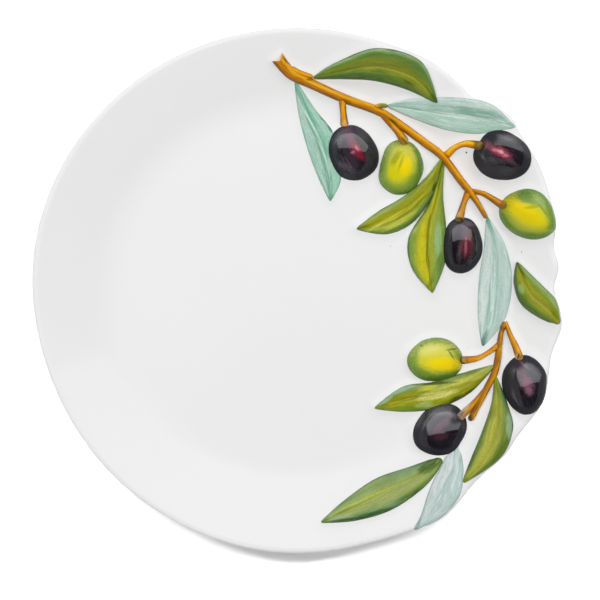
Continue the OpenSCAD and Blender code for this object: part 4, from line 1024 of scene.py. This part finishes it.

# olives: dome over the dish with a dimple at the stalk, and dabs of paint as on the leaves; some pale and grey dabs,
# marked below, are painted sheen and highlights
oliveForm = {
    "height": 0.010, "sink": 0.0015, "spread": 1.03, "rings": 30, "parts": 80,
    "dimple": 0.0007, "dimplePlace": 0.9, "dimpleSpread": 0.03,
}
olivePaint = {
    "olive_top_left": {"seed": 1.0, "dry": [], "dabs": [
        # the two grey dabs on the next line are a painted sheen along the top
        (342, 134, 11, 4.4, 45, (104, 103, 108), 0.7), (362, 133, 9, 4, -45, (92, 90, 95), 0.5),
        (348, 139, 12, 7, 60, (64, 58, 76), 0.6), (347, 176, 10, 2.4, -20, (70, 72, 76), 0.5),
        (349, 134, 9, 4.5, -70, (116, 84, 104), 0.45), (353, 143, 9, 4.4, -65, (136, 66, 92), 0.5),
        (357, 150, 8, 4.4, -60, (164, 40, 70), 0.6), (361, 155, 6, 3, -55, (126, 24, 44), 0.6),
        (352, 160, 10, 5, -55, (76, 56, 68), 0.5), (347, 167, 8, 3, -30, (106, 99, 106), 0.5),
        (357, 148, 3, 1.4, -60, (228, 130, 156), 0.6), (353, 152, 2, 1.4, 20, (196, 136, 152), 0.5),
        (343, 160, 7, 1.2, -60, (84, 78, 88), 0.55), (349, 163, 8, 0.8, -55, (98, 90, 100), 0.5)]},
    "olive_top_right": {"seed": 2.0, "dry": [
        (489, 137, 9, 6, -20, None, 1.0, 0.4), (478, 150, 5, 8, -20, None, 1.0, 0.4),
        (492, 169, 15, 6, -35, None, 1.0, 0.4)], "dabs": [
            # the two grey dabs on the next line are a painted sheen along the top
            (510, 138.5, 9, 3.2, -15, (108, 108, 112), 0.65), (524, 150, 9, 2.6, -55, (82, 80, 84), 0.5),
            (492, 171, 14, 5, -28, (68, 67, 71), 0.65), (505, 172, 12, 4, -8, (66, 64, 69), 0.5),
            (488, 144, 5, 3, -40, (112, 90, 100), 0.4), (497, 161, 10, 3, -10, (88, 80, 86), 0.5),
            (491, 148, 8, 3.6, -35, (146, 60, 80), 0.6), (501, 153, 9, 4.2, -25, (190, 84, 106), 0.7),
            (507, 158, 6, 3, -40, (126, 56, 70), 0.5), (500, 152, 3.4, 1.6, -25, (246, 178, 182), 0.8),
            (494, 150, 2.4, 1.4, 0, (222, 136, 150), 0.6), (505, 156, 2.4, 1.4, 0, (228, 146, 158), 0.6),
            (512, 163, 6, 2, -30, (98, 76, 82), 0.4), (483, 158, 7, 1.2, -50, (80, 78, 80), 0.5)]},
    "olive_center": {"seed": 3.0, "dry": [(447, 250, 14, 3, 88, None, 0.8, 0.4)], "dabs": [
        # the two grey dabs on the next line are a painted sheen along the top
        (468, 223.5, 6, 3, -14, (118, 111, 122), 0.65), (453, 227, 6, 3.4, 55, (86, 85, 92), 0.6),
        (461, 231, 9, 7, 90, (66, 58, 78), 0.5), (466, 233, 8, 4, 90, (114, 84, 106), 0.4),
        (467, 245, 11, 5, 86, (126, 44, 64), 0.6), (454, 242, 6, 3.4, 80, (16, 12, 18), 0.7),
        (460, 250, 9, 2, 85, (110, 84, 92), 0.45), (466, 246, 8, 1.2, 88, (178, 112, 126), 0.55),
        (470, 243, 8, 2, 88, (100, 20, 36), 0.55)]},
    "olive_lower_right": {"seed": 4.0, "dry": [
        (518, 363, 7, 6, -80, None, 0.9, 0.5), (508, 386, 16, 5, 80, None, 0.9, 0.5)], "dabs": [
            (530, 371, 10, 6, -60, (74, 68, 84), 0.5), (522, 375, 9, 3.5, -78, (114, 76, 98), 0.45),
            (527, 384, 8, 5, -70, (150, 92, 116), 0.6), (528, 391, 4, 3, -60, (142, 106, 120), 0.55),
            (519, 362, 4, 2.2, -20, (66, 40, 66), 0.6), (524, 365, 5, 1.4, -40, (128, 116, 130), 0.5)]},
    "olive_bottom": {"seed": 5.0, "dry": [
        (457, 418, 7, 5, 36, None, 0.9, 0.5), (417, 434, 14, 5, 80, None, 0.8, 0.5),
        (438, 408, 14, 3, 22, None, 0.9, 0.5)], "dabs": [
            # the grey dabs on the next two lines are a painted sheen along the top and flanks
            (441, 411, 11, 4, 14, (120, 119, 124), 0.7), (452, 415, 6, 3, -20, (108, 104, 114), 0.6),
            (420, 420, 9, 3.6, 60, (90, 90, 94), 0.6), (463.5, 425, 7, 2, -78, (76, 75, 78), 0.55),
            (438, 421, 12, 5, 38, (68, 62, 80), 0.5), (443, 424, 10, 3.2, 38, (114, 80, 104), 0.45),
            (437, 431, 6, 3, 20, (116, 48, 74), 0.5), (441, 436, 8, 3.5, 20, (84, 36, 52), 0.5),
            (461.5, 420, 3, 1.5, 50, (24, 20, 26), 0.85, 0.4)]},
    "olive_top_green": {"seed": 6.0, "dabs": [
        # the two pale dabs on the next line are a painted highlight on the top
        (390, 152, 12, 5, 62, (188, 202, 104), 0.65), (404, 148, 9, 4.4, 0, (226, 218, 92), 0.7),
        (400, 167, 14, 11, 80, (214, 206, 10), 0.9, 0.5), (406, 166, 9, 5.5, 75, (242, 212, 0), 0.85, 0.5),
        (394, 171, 7, 4.5, 70, (212, 204, 8), 0.7, 0.5), (396, 158, 8, 3, 60, (152, 154, 4), 0.8, 0.5),
        (401, 163, 8, 1.4, 70, (166, 160, 4), 0.65, 0.5), (398, 153, 6, 1.6, 20, (168, 172, 20), 0.5),
        # the first dab on the next line is part of that painted highlight
        (412, 152, 10, 2.4, -65, (226, 216, 96), 0.55), (409, 178, 7, 2.4, 30, (168, 180, 40), 0.5),
        (421, 165, 15, 3.2, 86, (84, 124, 50), 0.7), (413, 181, 10, 4, 50, (112, 148, 46), 0.6),
        (398, 187, 14, 4, 10, (142, 172, 66), 0.5), (383, 172, 12, 3.4, 80, (152, 180, 84), 0.55),
        (404, 193, 12, 2, 20, (92, 132, 54), 0.5)]},
    "olive_right_green": {"seed": 7.0, "dabs": [
        (512, 201, 10, 6, 40, (204, 194, 6), 0.85), (523, 213, 20, 8, -28, (230, 208, 6), 0.95),
        (535, 219, 12, 8, -30, (224, 206, 16), 0.85), (521, 207, 14, 3, -26, (244, 214, 2), 0.7, 0.5),
        (525, 196, 9, 5.4, -10, (94, 132, 58), 0.85, 0.45), (531, 202, 9, 2.8, -12, (118, 150, 70), 0.75, 0.5),
        # the pale dab at (539, 201) is a painted highlight
        (539, 201, 8, 4, -50, (154, 180, 116), 0.7), (533, 207, 8, 1.6, 8, (150, 160, 10), 0.6),
        (543, 211, 9, 1.0, -52, (124, 140, 44), 0.7), (549, 208, 14, 3, -70, (112, 152, 60), 0.6),
        (551, 228, 12, 3.4, 70, (106, 146, 54), 0.6), (530, 236, 22, 3, -8, (100, 140, 52), 0.75),
        (508, 226, 14, 3, -55, (112, 150, 54), 0.75), (515, 223, 10, 3, -45, (190, 190, 60), 0.5),
        (536, 230, 14, 3, -5, (186, 192, 60), 0.5)]},
    "olive_lower_green": {"seed": 8.0, "dabs": [
        # the pale dabs at (436, 350) and (428, 349) are a painted highlight over the top
        (436, 350, 22, 8, 2, (220, 216, 100), 0.85), (430, 358, 17, 7, 6, (214, 208, 60), 0.8),
        (428, 349, 12, 5, 10, (228, 224, 130), 0.6), (445, 364, 18, 6.6, 0, (244, 218, 8), 0.95, 0.45),
        (452, 366, 12, 4, 2, (250, 216, 4), 0.7), (440, 342, 20, 1.0, 2, (168, 186, 70), 0.5),
        (452, 349.5, 6, 0.9, 8, (84, 100, 22), 0.8, 0.5), (451, 354, 5, 0.9, -58, (88, 104, 24), 0.75, 0.5),
        (457, 353, 5, 1.6, -50, (146, 156, 20), 0.5), (422, 345.5, 1.8, 1.4, 0, (72, 96, 40), 0.8, 0.4),
        (414, 362, 14, 4, 80, (120, 160, 66), 0.7), (425, 374, 12, 3, -30, (106, 146, 52), 0.6),
        (446, 378, 20, 3.6, 6, (84, 122, 40), 0.8), (424, 343, 14, 3, 28, (152, 182, 92), 0.5)]},
}
# a glossy coat that thins from the middle to a dry edge; the dry edge is painted a lighter grey, a painted sheen on
# the flanks
blackOlive = {
    "base": (15, 12, 18), "soft": (31, 27, 36), "edge": (47, 47, 53), "silver": (92, 86, 96), "hair": 0.26,
    "hairFrom": (0.72, 1.0), "brush": (1.0, 2.2), "dryBrush": (0.5, 0.3), "drySeedStep": 2.3,
    "coat": (0.86, 0.6), "coatGrain": 0.06, "coatIor": 1.74, "coatRough": 0.045,
    "ior": 1.15, "wave": 90.0, "depth": 0.5, "gloss": 0.5, "streakDepth": 0.08,
}
# yellow to green through specks, with a painted border
greenOlive = {
    "rings": [(0.45, (200, 198, 56)), (0.62, (166, 182, 62)), (0.8, (120, 156, 54)), (0.97, (92, 132, 50))],
    "grainShift": 0.2, "brush": (1.4, 1.2), "speckFrom": (0.5, 0.85),
    "dark": (92, 132, 50), "darkShare": 0.5, "darkFrom": (0.45, 0.0),
    "pale": (178, 196, 96), "paleShare": 0.45, "paleFrom": (0.6, 1.0),
    "line": (82, 112, 42), "lineShare": 0.7, "lineFrom": (0.92, 1.0),
    "ior": 1.28, "wave": 90.0, "depth": 0.4, "gloss": 0.22, "streakDepth": 0.08,
}


def domeHeight(name, points):
    middle, half, axis, side = oliveFrame(name)
    half = half * oliveForm["spread"]
    rel = points - middle
    wave = oliveWave(name, rel)
    u, v = rel @ axis / half[0] / wave, rel @ side / half[1] / wave
    rise = np.sqrt(np.clip(1 - u ** 2 - v ** 2, 0, None))
    r = np.linalg.norm(middle)
    tilt = surfaceSlope(r) * (rel @ (middle / r))
    return surfaceHeight(r) + tilt - oliveForm["sink"] + (oliveForm["height"] + oliveForm["sink"]) * rise


def greenSkin(tree, shader, look, out, strokes):
    grain = strokes["Grain"]
    place = timesPlus(tree, minus(tree, grain, 0.5), greenOlive["grainShift"], out)
    color = colorRamp(tree, place, greenOlive["rings"])
    color = addDabs(tree, color, look["dabs"], *greenOlive["brush"])
    outer = fade(tree, out, *greenOlive["speckFrom"])
    for tint in ("dark", "pale"):
        specks = times(tree, fade(tree, grain, *greenOlive[tint + "From"]), outer)
        color = mixColor(tree, times(tree, specks, greenOlive[tint + "Share"]), color, paint(*greenOlive[tint]))
    border = times(tree, fade(tree, out, *greenOlive["lineFrom"]), greenOlive["lineShare"])
    color = mixColor(tree, border, color, paint(*greenOlive["line"]))
    finishGlaze(tree, shader, color, greenOlive, strokes["Fine"])


def blackSkin(tree, shader, look, out, strokes):
    reach = timesPlus(tree, minus(tree, strokes["Grain"], 0.5), blackOlive["coatGrain"], out)
    color = mixColor(tree, strokes["Blot"], paint(*blackOlive["base"]), paint(*blackOlive["soft"]))
    hair = times(tree, fade(tree, strokes["Fine"], *blackOlive["hairFrom"]), blackOlive["hair"])
    color = mixColor(tree, hair, color, paint(*blackOlive["silver"]))
    coat = fade(tree, reach, *blackOlive["coat"])
    for number, dab in enumerate(look["dry"]):
        bare = dabMask(tree, dab, *blackOlive["dryBrush"], number * blackOlive["drySeedStep"])
        coat = times(tree, coat, minus(tree, 1.0, bare))
    # painted sheen: lighter grey where the coat thins towards the edge and in the dry patches
    color = mixColor(tree, minus(tree, 1.0, coat), color, paint(*blackOlive["edge"]))
    color = addDabs(tree, color, look["dabs"], *blackOlive["brush"])
    shader.inputs["Coat IOR"].default_value = blackOlive["coatIor"]
    shader.inputs["Coat Roughness"].default_value = blackOlive["coatRough"]
    put(tree, shader.inputs["Coat Weight"], coat)
    finishGlaze(tree, shader, color, blackOlive, strokes["Fine"])


def oliveMaterial(name, half):
    look, green = olivePaint[name], name.endswith("green")
    material, tree, shader = newGlaze(name + "Paint", (greenOlive if green else blackOlive)["ior"])
    along, across = paintCoordinates(tree)
    u, v = timesPlus(tree, along, 2.0, -1.0), timesPlus(tree, across, 2.0, -1.0)
    strokes = useGroup(
        tree, brushStrokes, Along=along, Across=across, Length=half[0] * 2000, Width=half[1] * 2000,
        Seed=look["seed"])
    addSkin = greenSkin if green else blackSkin
    addSkin(tree, shader, look, fromCenter(tree, u, v), strokes)
    return material


def buildOlive(name):
    middle, half, axis, side = oliveFrame(name)
    half = half * oliveForm["spread"]
    rings, parts = oliveForm["rings"], oliveForm["parts"]
    turn = np.linspace(0, 2 * math.pi, parts, endpoint=False)
    verts, uv = [], []
    for k in range(1, rings + 1):
        reach = math.sin(k / rings * math.pi / 2)
        u, v = reach * np.cos(turn), reach * np.sin(turn)
        away = (half[0] * u)[:, None] * axis + (half[1] * v)[:, None] * side
        plan = middle + away * oliveWave(name, away)[:, None]
        fromStalk = (u + oliveForm["dimplePlace"]) ** 2 + v ** 2
        z = domeHeight(name, plan) - oliveForm["dimple"] * np.exp(-fromStalk / oliveForm["dimpleSpread"])
        verts.append(np.column_stack([plan, z]))
        uv.append(np.column_stack([(u + 1) / 2, (v + 1) / 2]))
    peak = np.append(middle, domeHeight(name, middle[None])[0])
    base = np.append(middle, surfaceHeight(np.linalg.norm(middle)) - oliveForm["sink"])
    points = np.concatenate(verts + [[peak], [base]])
    paintAt = np.concatenate(uv + [[[0.5, 0.5]], [[0.5, 0.5]]])
    piece = meshObject(name, points, ringFaces(rings, parts), paintAt, [oliveMaterial(name, half)])
    dress(piece, name)


for oliveName in oliveForms:
    buildOlive(oliveName)
print("olives made:", len(oliveForms))

# branches, stalks, twig and bud
stemForm = {
    "branch": 0.0030, "stalk": 0.0024, "capLift": 0.0006, "capReach": 0.0016, "capFrom": (0.7, 1.0),
    "notch": 0.0024, "notchEnd": 0.045, "endRound": 0.35, "endLow": 0.25, "cutEnd": 0.75,
    "rowsPerPoint": 10, "across": 13,
}
shortCaps = {"stalk_top_left": 0.0003, "stalk_right_green": 0.0006}  # caps that end at the edge of the fruit
# colours across each stem: between dark borders, a painted highlight band on one side and painted shade towards the
# other
stemPaint = {
    "gold": (216, 142, 0), "light": (244, 178, 24), "deep": (196, 120, 0), "dark": (156, 92, 0),
    "edge": (116, 70, 4), "across": [
        (0.0, "dark"), (0.12, "gold"), (0.32, "light"), (0.52, "gold"), (0.74, "deep"), (0.92, "dark"),
        (1.0, "edge")],
    "streak": 0.42, "cap": 0.7, "capStreak": 0.06, "capFrom": (0.8, 0.9),
    "ring": (74, 62, 24), "ringShare": 0.5, "ringFrom": (0.9, 0.98), "ringStreak": (0.8, 0.2),
    "bud": (140, 150, 68), "budFrom": (0.25, 0.6),
    "ior": 1.3, "wave": 150.0, "depth": 0.5, "gloss": 0.3, "streakDepth": 0.4,
}
stemTone = {
    "lower_branch": 0.9, "stalk_top_left": 1.05, "stalk_bottom": 0.97, "stalk_right_green": 0.95,
    "stalk_top_right": 1.25, "stalk_lower_green": 1.1, "stalk_lower_right": 1.03,
}
capPaint = {
    "olive_top_left": (212, 160, 84), "olive_top_green": (164, 138, 60), "olive_top_right": (132, 106, 26),
    "olive_center": (150, 124, 70), "olive_right_green": (158, 104, 34), "olive_lower_green": (166, 130, 60),
    "olive_lower_right": (176, 140, 84), "olive_bottom": (170, 156, 132),
}
stemDabs = {
    "upper_branch": [
        (286, 68, 10, 1.2, -48, (196, 124, 6), 0.6), (283, 64, 8, 0.9, -50, (170, 106, 4), 0.5),
        # the light gold streaks at (325, 88), (360, 99) and (418, 134) are painted highlights along the branch
        (290, 74, 8, 1.0, -42, (206, 132, 10), 0.5), (325, 88, 18, 1.2, -22, (255, 196, 66), 0.6),
        (360, 99, 14, 1.2, -24, (252, 194, 60), 0.55), (418, 134, 22, 1.0, -36, (250, 186, 50), 0.5),
        (297, 78, 7, 1.4, -12, (190, 112, 4), 0.7), (310, 79, 4, 1.2, 0, (140, 86, 8), 0.8),
        (344, 100.5, 4, 2.4, -10, (140, 88, 10), 0.8), (349, 101.5, 3, 1.6, -30, (150, 92, 10), 0.7),
        (393, 121, 5, 1.8, -38, (104, 80, 22), 0.9), (385, 114.5, 6, 1.2, -28, (180, 112, 8), 0.6),
        (396, 124, 3, 1.5, -50, (130, 96, 20), 0.7), (380, 107.5, 5, 1.4, -15, (150, 100, 6), 0.7),
        (445, 160, 6, 2.5, -50, (190, 110, 10), 0.6), (466, 187, 8, 1.4, -56, (178, 108, 8), 0.6),
        (463, 186, 6, 1.2, -60, (150, 92, 8), 0.5), (485, 214, 5, 1.6, -62, (170, 104, 6), 0.6)],
    "lower_branch": [
        (504, 330, 4, 2, -60, (130, 84, 10), 0.8), (499, 347, 5, 1.4, 60, (140, 96, 14), 0.7),
        (497, 363, 7, 1.6, 72, (150, 96, 14), 0.7), (494, 372, 6, 1.4, 60, (200, 130, 40), 0.5),
        (486, 390, 10, 1.2, 58, (184, 116, 26), 0.6), (477, 408, 8, 1.2, 62, (120, 78, 14), 0.8),
        (469.6, 419.6, 4.6, 3, 60, (84, 66, 34), 0.9, 0.4)],
    "stalk_top_left": [
        # the light streak at (342.5, 112) and the pale pink end at (344.5, 122) are painted highlights
        (342.5, 112, 8, 1.2, 92, (252, 190, 50), 0.5), (346.5, 114, 7, 0.9, 96, (86, 66, 16), 0.85),
        (348, 121.5, 3, 0.8, -60, (120, 84, 20), 0.7), (344.5, 122, 3, 1.8, 80, (238, 190, 130), 0.6),
        (345, 126.5, 5, 0.9, 0, (74, 66, 64), 0.8, 0.4)],
    "stalk_top_green": [
        # the light streak at (397, 129) is a painted highlight
        (397, 129, 6, 1.4, -48, (236, 170, 60), 0.6), (389, 121, 5, 1.2, -45, (180, 114, 10), 0.6),
        (408, 140, 4, 1.2, -52, (214, 180, 90), 0.6), (405, 140.5, 5, 1.2, -48, (98, 88, 20), 0.9, 0.4),
        (401, 140, 4, 0.8, -58, (128, 104, 36), 0.75, 0.4),
        (405.5, 145.4, 4.5, 0.9, -8, (186, 160, 104), 0.7, 0.4)],
    "stalk_top_right": [
        # the light streak at (458, 146.5) is a painted highlight
        (458, 146.5, 8, 1.2, 20, (250, 190, 70), 0.5), (468, 146, 8, 1.2, -4, (200, 124, 6), 0.5),
        (477.5, 145, 3.6, 3.4, -10, (128, 104, 22), 0.85, 0.35), (478.5, 144.6, 2, 1.2, 60, (170, 144, 60), 0.6),
        (476.5, 148.6, 5, 0.8, -10, (80, 60, 10), 0.75), (475.5, 141.6, 5, 0.7, -5, (104, 78, 10), 0.75),
        (482, 146.4, 1.6, 3.2, -20, (66, 52, 30), 0.9, 0.4)],
    "stalk_center": [
        (465, 205, 8, 1.2, 68, (190, 120, 16), 0.5), (463, 206, 8, 0.8, 68, (222, 176, 104), 0.6),
        (459.6, 213.5, 3.4, 1.5, 66, (216, 182, 122), 0.75), (463.5, 213, 4, 1.0, 66, (196, 120, 20), 0.5),
        (460, 219.8, 5, 2.8, 0, (58, 50, 18), 0.95, 0.35), (458.6, 219.6, 2, 1, 0, (120, 110, 44), 0.75),
        (463.5, 221.4, 2.5, 1, -30, (30, 26, 12), 0.8)],
    "stalk_right_green": [
        (499, 203, 4, 2.8, -30, (168, 104, 20), 0.8), (482, 194.5, 6, 1.4, -24, (196, 118, 10), 0.6),
        # the pale pinkish dab at (498.5, 201.4) is a painted highlight
        (473, 191.5, 4, 2, -20, (180, 108, 8), 0.6), (498.5, 201.4, 2.6, 1.1, -30, (220, 156, 90), 0.7),
        (504.4, 207.5, 2, 4, -35, (126, 122, 36), 0.9, 0.35), (501.5, 209.6, 3, 0.8, -50, (92, 86, 24), 0.75)],
    "stalk_lower_green": [
        # the light streak at (482, 355.5) is a painted highlight
        (482, 355.5, 9, 1.0, 28, (236, 160, 40), 0.5), (470, 360.5, 6, 1, 5, (196, 128, 20), 0.6),
        (462.6, 360.6, 2.4, 5.4, 14, (108, 82, 30), 0.9, 0.35), (464, 360, 1.2, 2.8, 14, (196, 156, 88), 0.8, 0.4),
        (467.6, 360.6, 0.8, 4.5, 8, (150, 104, 20), 0.7)],
    "stalk_lower_right": [
        # the light streaks at (512, 340) and (518.6, 349.6) are painted highlights
        (512, 340, 8, 1.2, -64, (226, 150, 30), 0.5), (518.6, 349.6, 3, 1.8, -60, (242, 178, 60), 0.6),
        (516.4, 357.4, 3, 1.3, 70, (210, 184, 134), 0.8), (520.6, 357.4, 2.4, 1.0, 70, (146, 102, 30), 0.75),
        (518.5, 356.4, 3, 1.1, 74, (52, 46, 22), 0.9, 0.4)],
    "stalk_bottom": [
        # the light streak at (472, 404) is a painted highlight
        (466, 411, 8, 2.4, 47, (190, 152, 100), 0.5), (472, 404, 9, 1.2, 48, (224, 150, 50), 0.6),
        (466.4, 408.6, 6.5, 1.0, 47, (236, 200, 136), 0.75), (478, 402, 6, 0.9, 52, (140, 88, 12), 0.7),
        (467.5, 413, 6, 0.9, 48, (150, 100, 30), 0.7), (460.8, 415.6, 4, 2.6, 50, (146, 136, 120), 0.85, 0.4),
        (458.4, 418.4, 1.8, 4, 50, (50, 44, 42), 0.8, 0.4), (463, 413.4, 3, 0.9, 48, (110, 92, 66), 0.6)],
}


def stemMaterial(name, length, width):
    material, tree, shader = newGlaze(name + "Paint", stemPaint["ior"])
    along, across = paintCoordinates(tree)
    seed = float(sum(ord(c) for c in name) % 97)
    strokes = useGroup(
        tree, brushStrokes, Along=along, Across=across, Length=length * 1000, Width=width * 1400, Seed=seed)
    fine = strokes["Fine"]
    place = timesPlus(tree, minus(tree, fine, 0.5), stemPaint["streak"], across)
    tone = stemTone.get(name, 1.0)
    stops = [(stop, [min(c * tone, 255) for c in stemPaint[key]]) for stop, key in stemPaint["across"]]
    color = colorRamp(tree, place, stops)
    olive = stemForms[name][2]
    if olive:  # the cap on the fruit
        cap = fade(tree, timesPlus(tree, strokes["Broad"], stemPaint["capStreak"], along), *stemPaint["capFrom"])
        color = mixColor(tree, times(tree, cap, stemPaint["cap"]), color, paint(*capPaint[olive]))
        ring = times(tree, fade(tree, along, *stemPaint["ringFrom"]), fade(tree, fine, *stemPaint["ringStreak"]))
        color = mixColor(tree, times(tree, ring, stemPaint["ringShare"]), color, paint(*stemPaint["ring"]))
    color = addDabs(tree, color, stemDabs.get(name, ()))
    if name == "bud_top":
        color = mixColor(tree, fade(tree, along, *stemPaint["budFrom"]), color, paint(*stemPaint["bud"]))
    finishGlaze(tree, shader, color, stemPaint, fine)
    return material


def buildStem(name):
    spine, widths, olive = stemForms[name]
    t = np.linspace(0, 1, stemForm["rowsPerPoint"] * (len(spine) - 1) + 1)
    x = np.sin(np.linspace(-1, 1, stemForm["across"]) * math.pi / 2)
    left, right = stemRows(name, t)
    middle, side = (left + right) / 2, (left - right) / 2
    ahead = np.gradient(middle, axis=0)
    ahead /= np.linalg.norm(ahead, axis=1)[:, None]
    atEnd = smooth(*stemForm["capFrom"], t)
    if olive:  # the cap reaches over the end of the fruit
        middle = middle + ahead * (atEnd * shortCaps.get(name, stemForm["capReach"]))[:, None]
    plan = middle[:, None] - side[:, None] * x[None, :, None]
    roundEnd = 0.5 * float(planLength(widths[-1])) * (1 - np.sqrt(1 - x ** 2)) * atEnd[:, None]
    plan = plan - ahead[:, None] * roundEnd[..., None]
    if name == "upper_branch":  # the cut end is notched between two prongs
        inward = stemForm["notch"] * (1 - np.abs(x)) * smooth(stemForm["notchEnd"], 0.0, t)[:, None]
        plan = plan + ahead[:, None] * inward[..., None]
    tall = stemForm["branch"] if name.endswith("branch") else stemForm["stalk"]
    fromEnd = np.clip(np.minimum(t, 1 - t) * len(spine) / stemForm["endRound"], 0, 1)
    closing = np.sqrt(1 - (1 - fromEnd) ** 2)[:, None]
    if name == "upper_branch":
        closing = np.maximum(closing, stemForm["cutEnd"] * (t < 0.5)[:, None])
    dome = np.sqrt(np.clip(1 - x ** 2, 0, 1))[None, :]
    low = stemForm["endLow"]
    height = slipFillet["stem"][0] - reliefSeat["lap"] + tall * dome * (low + (1 - low) * closing)
    z = dishTop(plan) + height
    if olive:
        over = domeHeight(olive, plan.reshape(-1, 2)).reshape(z.shape) + stemForm["capLift"] * dome
        z = np.maximum(z, over)
    uv = np.stack(np.broadcast_arrays(t[:, None], (x[None, :] + 1) / 2), -1)
    length = np.linalg.norm(np.diff(middle, axis=0), axis=1).sum()
    gridPiece(name, plan, z, uv, stemMaterial(name, length, float(planLength(max(widths)))))


for stemName in stemForms:
    buildStem(stemName)
print("stems made:", len(stemForms))

# studio: pale floor, a strip lamp over each side, white cards above and below the picture, dark camera side
studio = {
    "surround": 0.26, "stripPower": 13.8, "stripHeight": 1.5, "stripReach": (0.08, 1.0), "stripWidth": 0.12,
    "stripTurn": math.radians(77), "stripShift": 0.15,
    "floor": (0.85, 1.65), "floorReach": 40, "floorDrop": 0.0002,
    "cardHeight": 1.2, "topCardEdge": math.radians(17), "topCardSide": 2.2, "topCardFoot": 0.02,
    "lowCardSides": (-3.2, 2.6), "back": 1.7,
    "front": (-4.0, -3.6), "left": (-3.1, -2.8), "right": (2.4, 1.35),  # low and high edge of the cards there
    "topCard": (1.25, 2.2), "lowCard": (0.3, 0.3), "darkCameraSide": (0.03, 0.03),  # glow at the first and far edge
    "leftCard": (0.3, 0.3), "rightCard": (0.3, 0.3),
}


def stagePlane(name, corners, material):
    mesh = bpy.data.meshes.new(name)
    mesh.from_pydata(corners, [], [(0, 1, 2, 3)])
    layer = mesh.uv_layers.new(name="paint")
    layer.data.foreach_set("uv", [0, 0, 1, 0, 1, 1, 0, 1])
    mesh.materials.append(material)
    plane = bpy.data.objects.new(name, mesh)
    scene.collection.objects.link(plane)
    return plane


def cardMaterial(name, near, far):  # glow from its first edge to the far one
    material = bpy.data.materials.new(name)
    material.use_nodes = True
    tree = material.node_tree
    tree.nodes.clear()
    glow = tree.nodes.new("ShaderNodeEmission")
    uv = tree.nodes.new("ShaderNodeUVMap")
    split = tree.nodes.new("ShaderNodeSeparateXYZ")
    tree.links.new(uv.outputs[0], split.inputs[0])
    put(tree, glow.inputs["Strength"], timesPlus(tree, split.outputs[1], far - near, near))
    out = tree.nodes.new("ShaderNodeOutputMaterial")
    tree.links.new(glow.outputs[0], out.inputs[0])
    return material


def reflectionOnly(card):
    card.visible_camera = False
    card.visible_diffuse = False
    card.visible_shadow = False
    card.visible_transmission = False


def buildStudio():
    world = bpy.data.worlds.new("studioSurround")
    scene.world = world
    world.use_nodes = True
    world.node_tree.nodes["Background"].inputs[0].default_value = (1, 1, 1, 1)
    world.node_tree.nodes["Background"].inputs[1].default_value = studio["surround"]

    near, far = (share * studio["stripHeight"] for share in studio["stripReach"])
    middle = (near + far) / 2
    for name, turn in (("leftStrip", studio["stripTurn"]), ("rightStrip", -studio["stripTurn"])):
        lamp = bpy.data.lights.new(name, "AREA")
        lamp.shape = "RECTANGLE"
        lamp.size, lamp.size_y = studio["stripWidth"] * studio["stripHeight"], far - near
        lamp.energy = studio["stripPower"]
        strip = bpy.data.objects.new(name, lamp)
        strip.location = (
            -math.sin(turn) * middle, math.cos(turn) * middle + studio["stripShift"], studio["stripHeight"])
        strip.rotation_euler = (0, 0, turn)
        strip.visible_glossy = False
        strip.visible_camera = False
        scene.collection.objects.link(strip)

    high, back = studio["cardHeight"], studio["back"]
    near = high * math.tan(studio["topCardEdge"])
    side, foot = studio["topCardSide"], studio["topCardFoot"]
    (lowFront, front), (lowLeft, left), (lowRight, right) = studio["front"], studio["left"], studio["right"]
    start, end = studio["lowCardSides"]
    cards = {
        "topCard": [(-side, near, high), (side, near, high), (side, back, foot), (-side, back, foot)],
        "lowCard": [(start, lowFront, 0.0), (end, lowFront, 0.0), (end, front, high), (start, front, high)],
        "darkCameraSide": [(left, front, high), (right, front, high), (right, near, high), (left, near, high)],
        "leftCard": [(lowLeft, back, 0.0), (lowLeft, lowFront, 0.0), (left, lowFront, high), (left, back, high)],
        "rightCard": [(lowRight, back, 0.0), (lowRight, lowFront, 0.0), (right, lowFront, high), (right, back, high)],
    }
    for name, corners in cards.items():
        reflectionOnly(stagePlane(name, corners, cardMaterial(name, *studio[name])))

    material = bpy.data.materials.new("paleFloor")
    material.use_nodes = True
    tree = material.node_tree
    tree.nodes.clear()
    matte = tree.nodes.new("ShaderNodeBsdfDiffuse")
    rays = tree.nodes.new("ShaderNodeLightPath").outputs
    seen = calc(tree, "ADD", rays["Is Camera Ray"], rays["Is Glossy Ray"])
    seen = calc(tree, "ADD", seen, rays["Is Transmission Ray"], clamp=True)
    unseenLevel, seenLevel = studio["floor"]  # its own bounce stays plain
    level = timesPlus(tree, seen, seenLevel - unseenLevel, unseenLevel)
    put(tree, matte.inputs[0], joined(tree, level, level, level))
    out = tree.nodes.new("ShaderNodeOutputMaterial")
    tree.links.new(matte.outputs[0], out.inputs[0])
    reach, low = studio["floorReach"], -studio["floorDrop"]
    corners = [(-reach, -reach, low), (reach, -reach, low), (reach, reach, low), (-reach, reach, low)]
    stagePlane("paleFloor", corners, material)


buildStudio()
scene.view_settings.view_transform = "Standard"
print("studio lit")
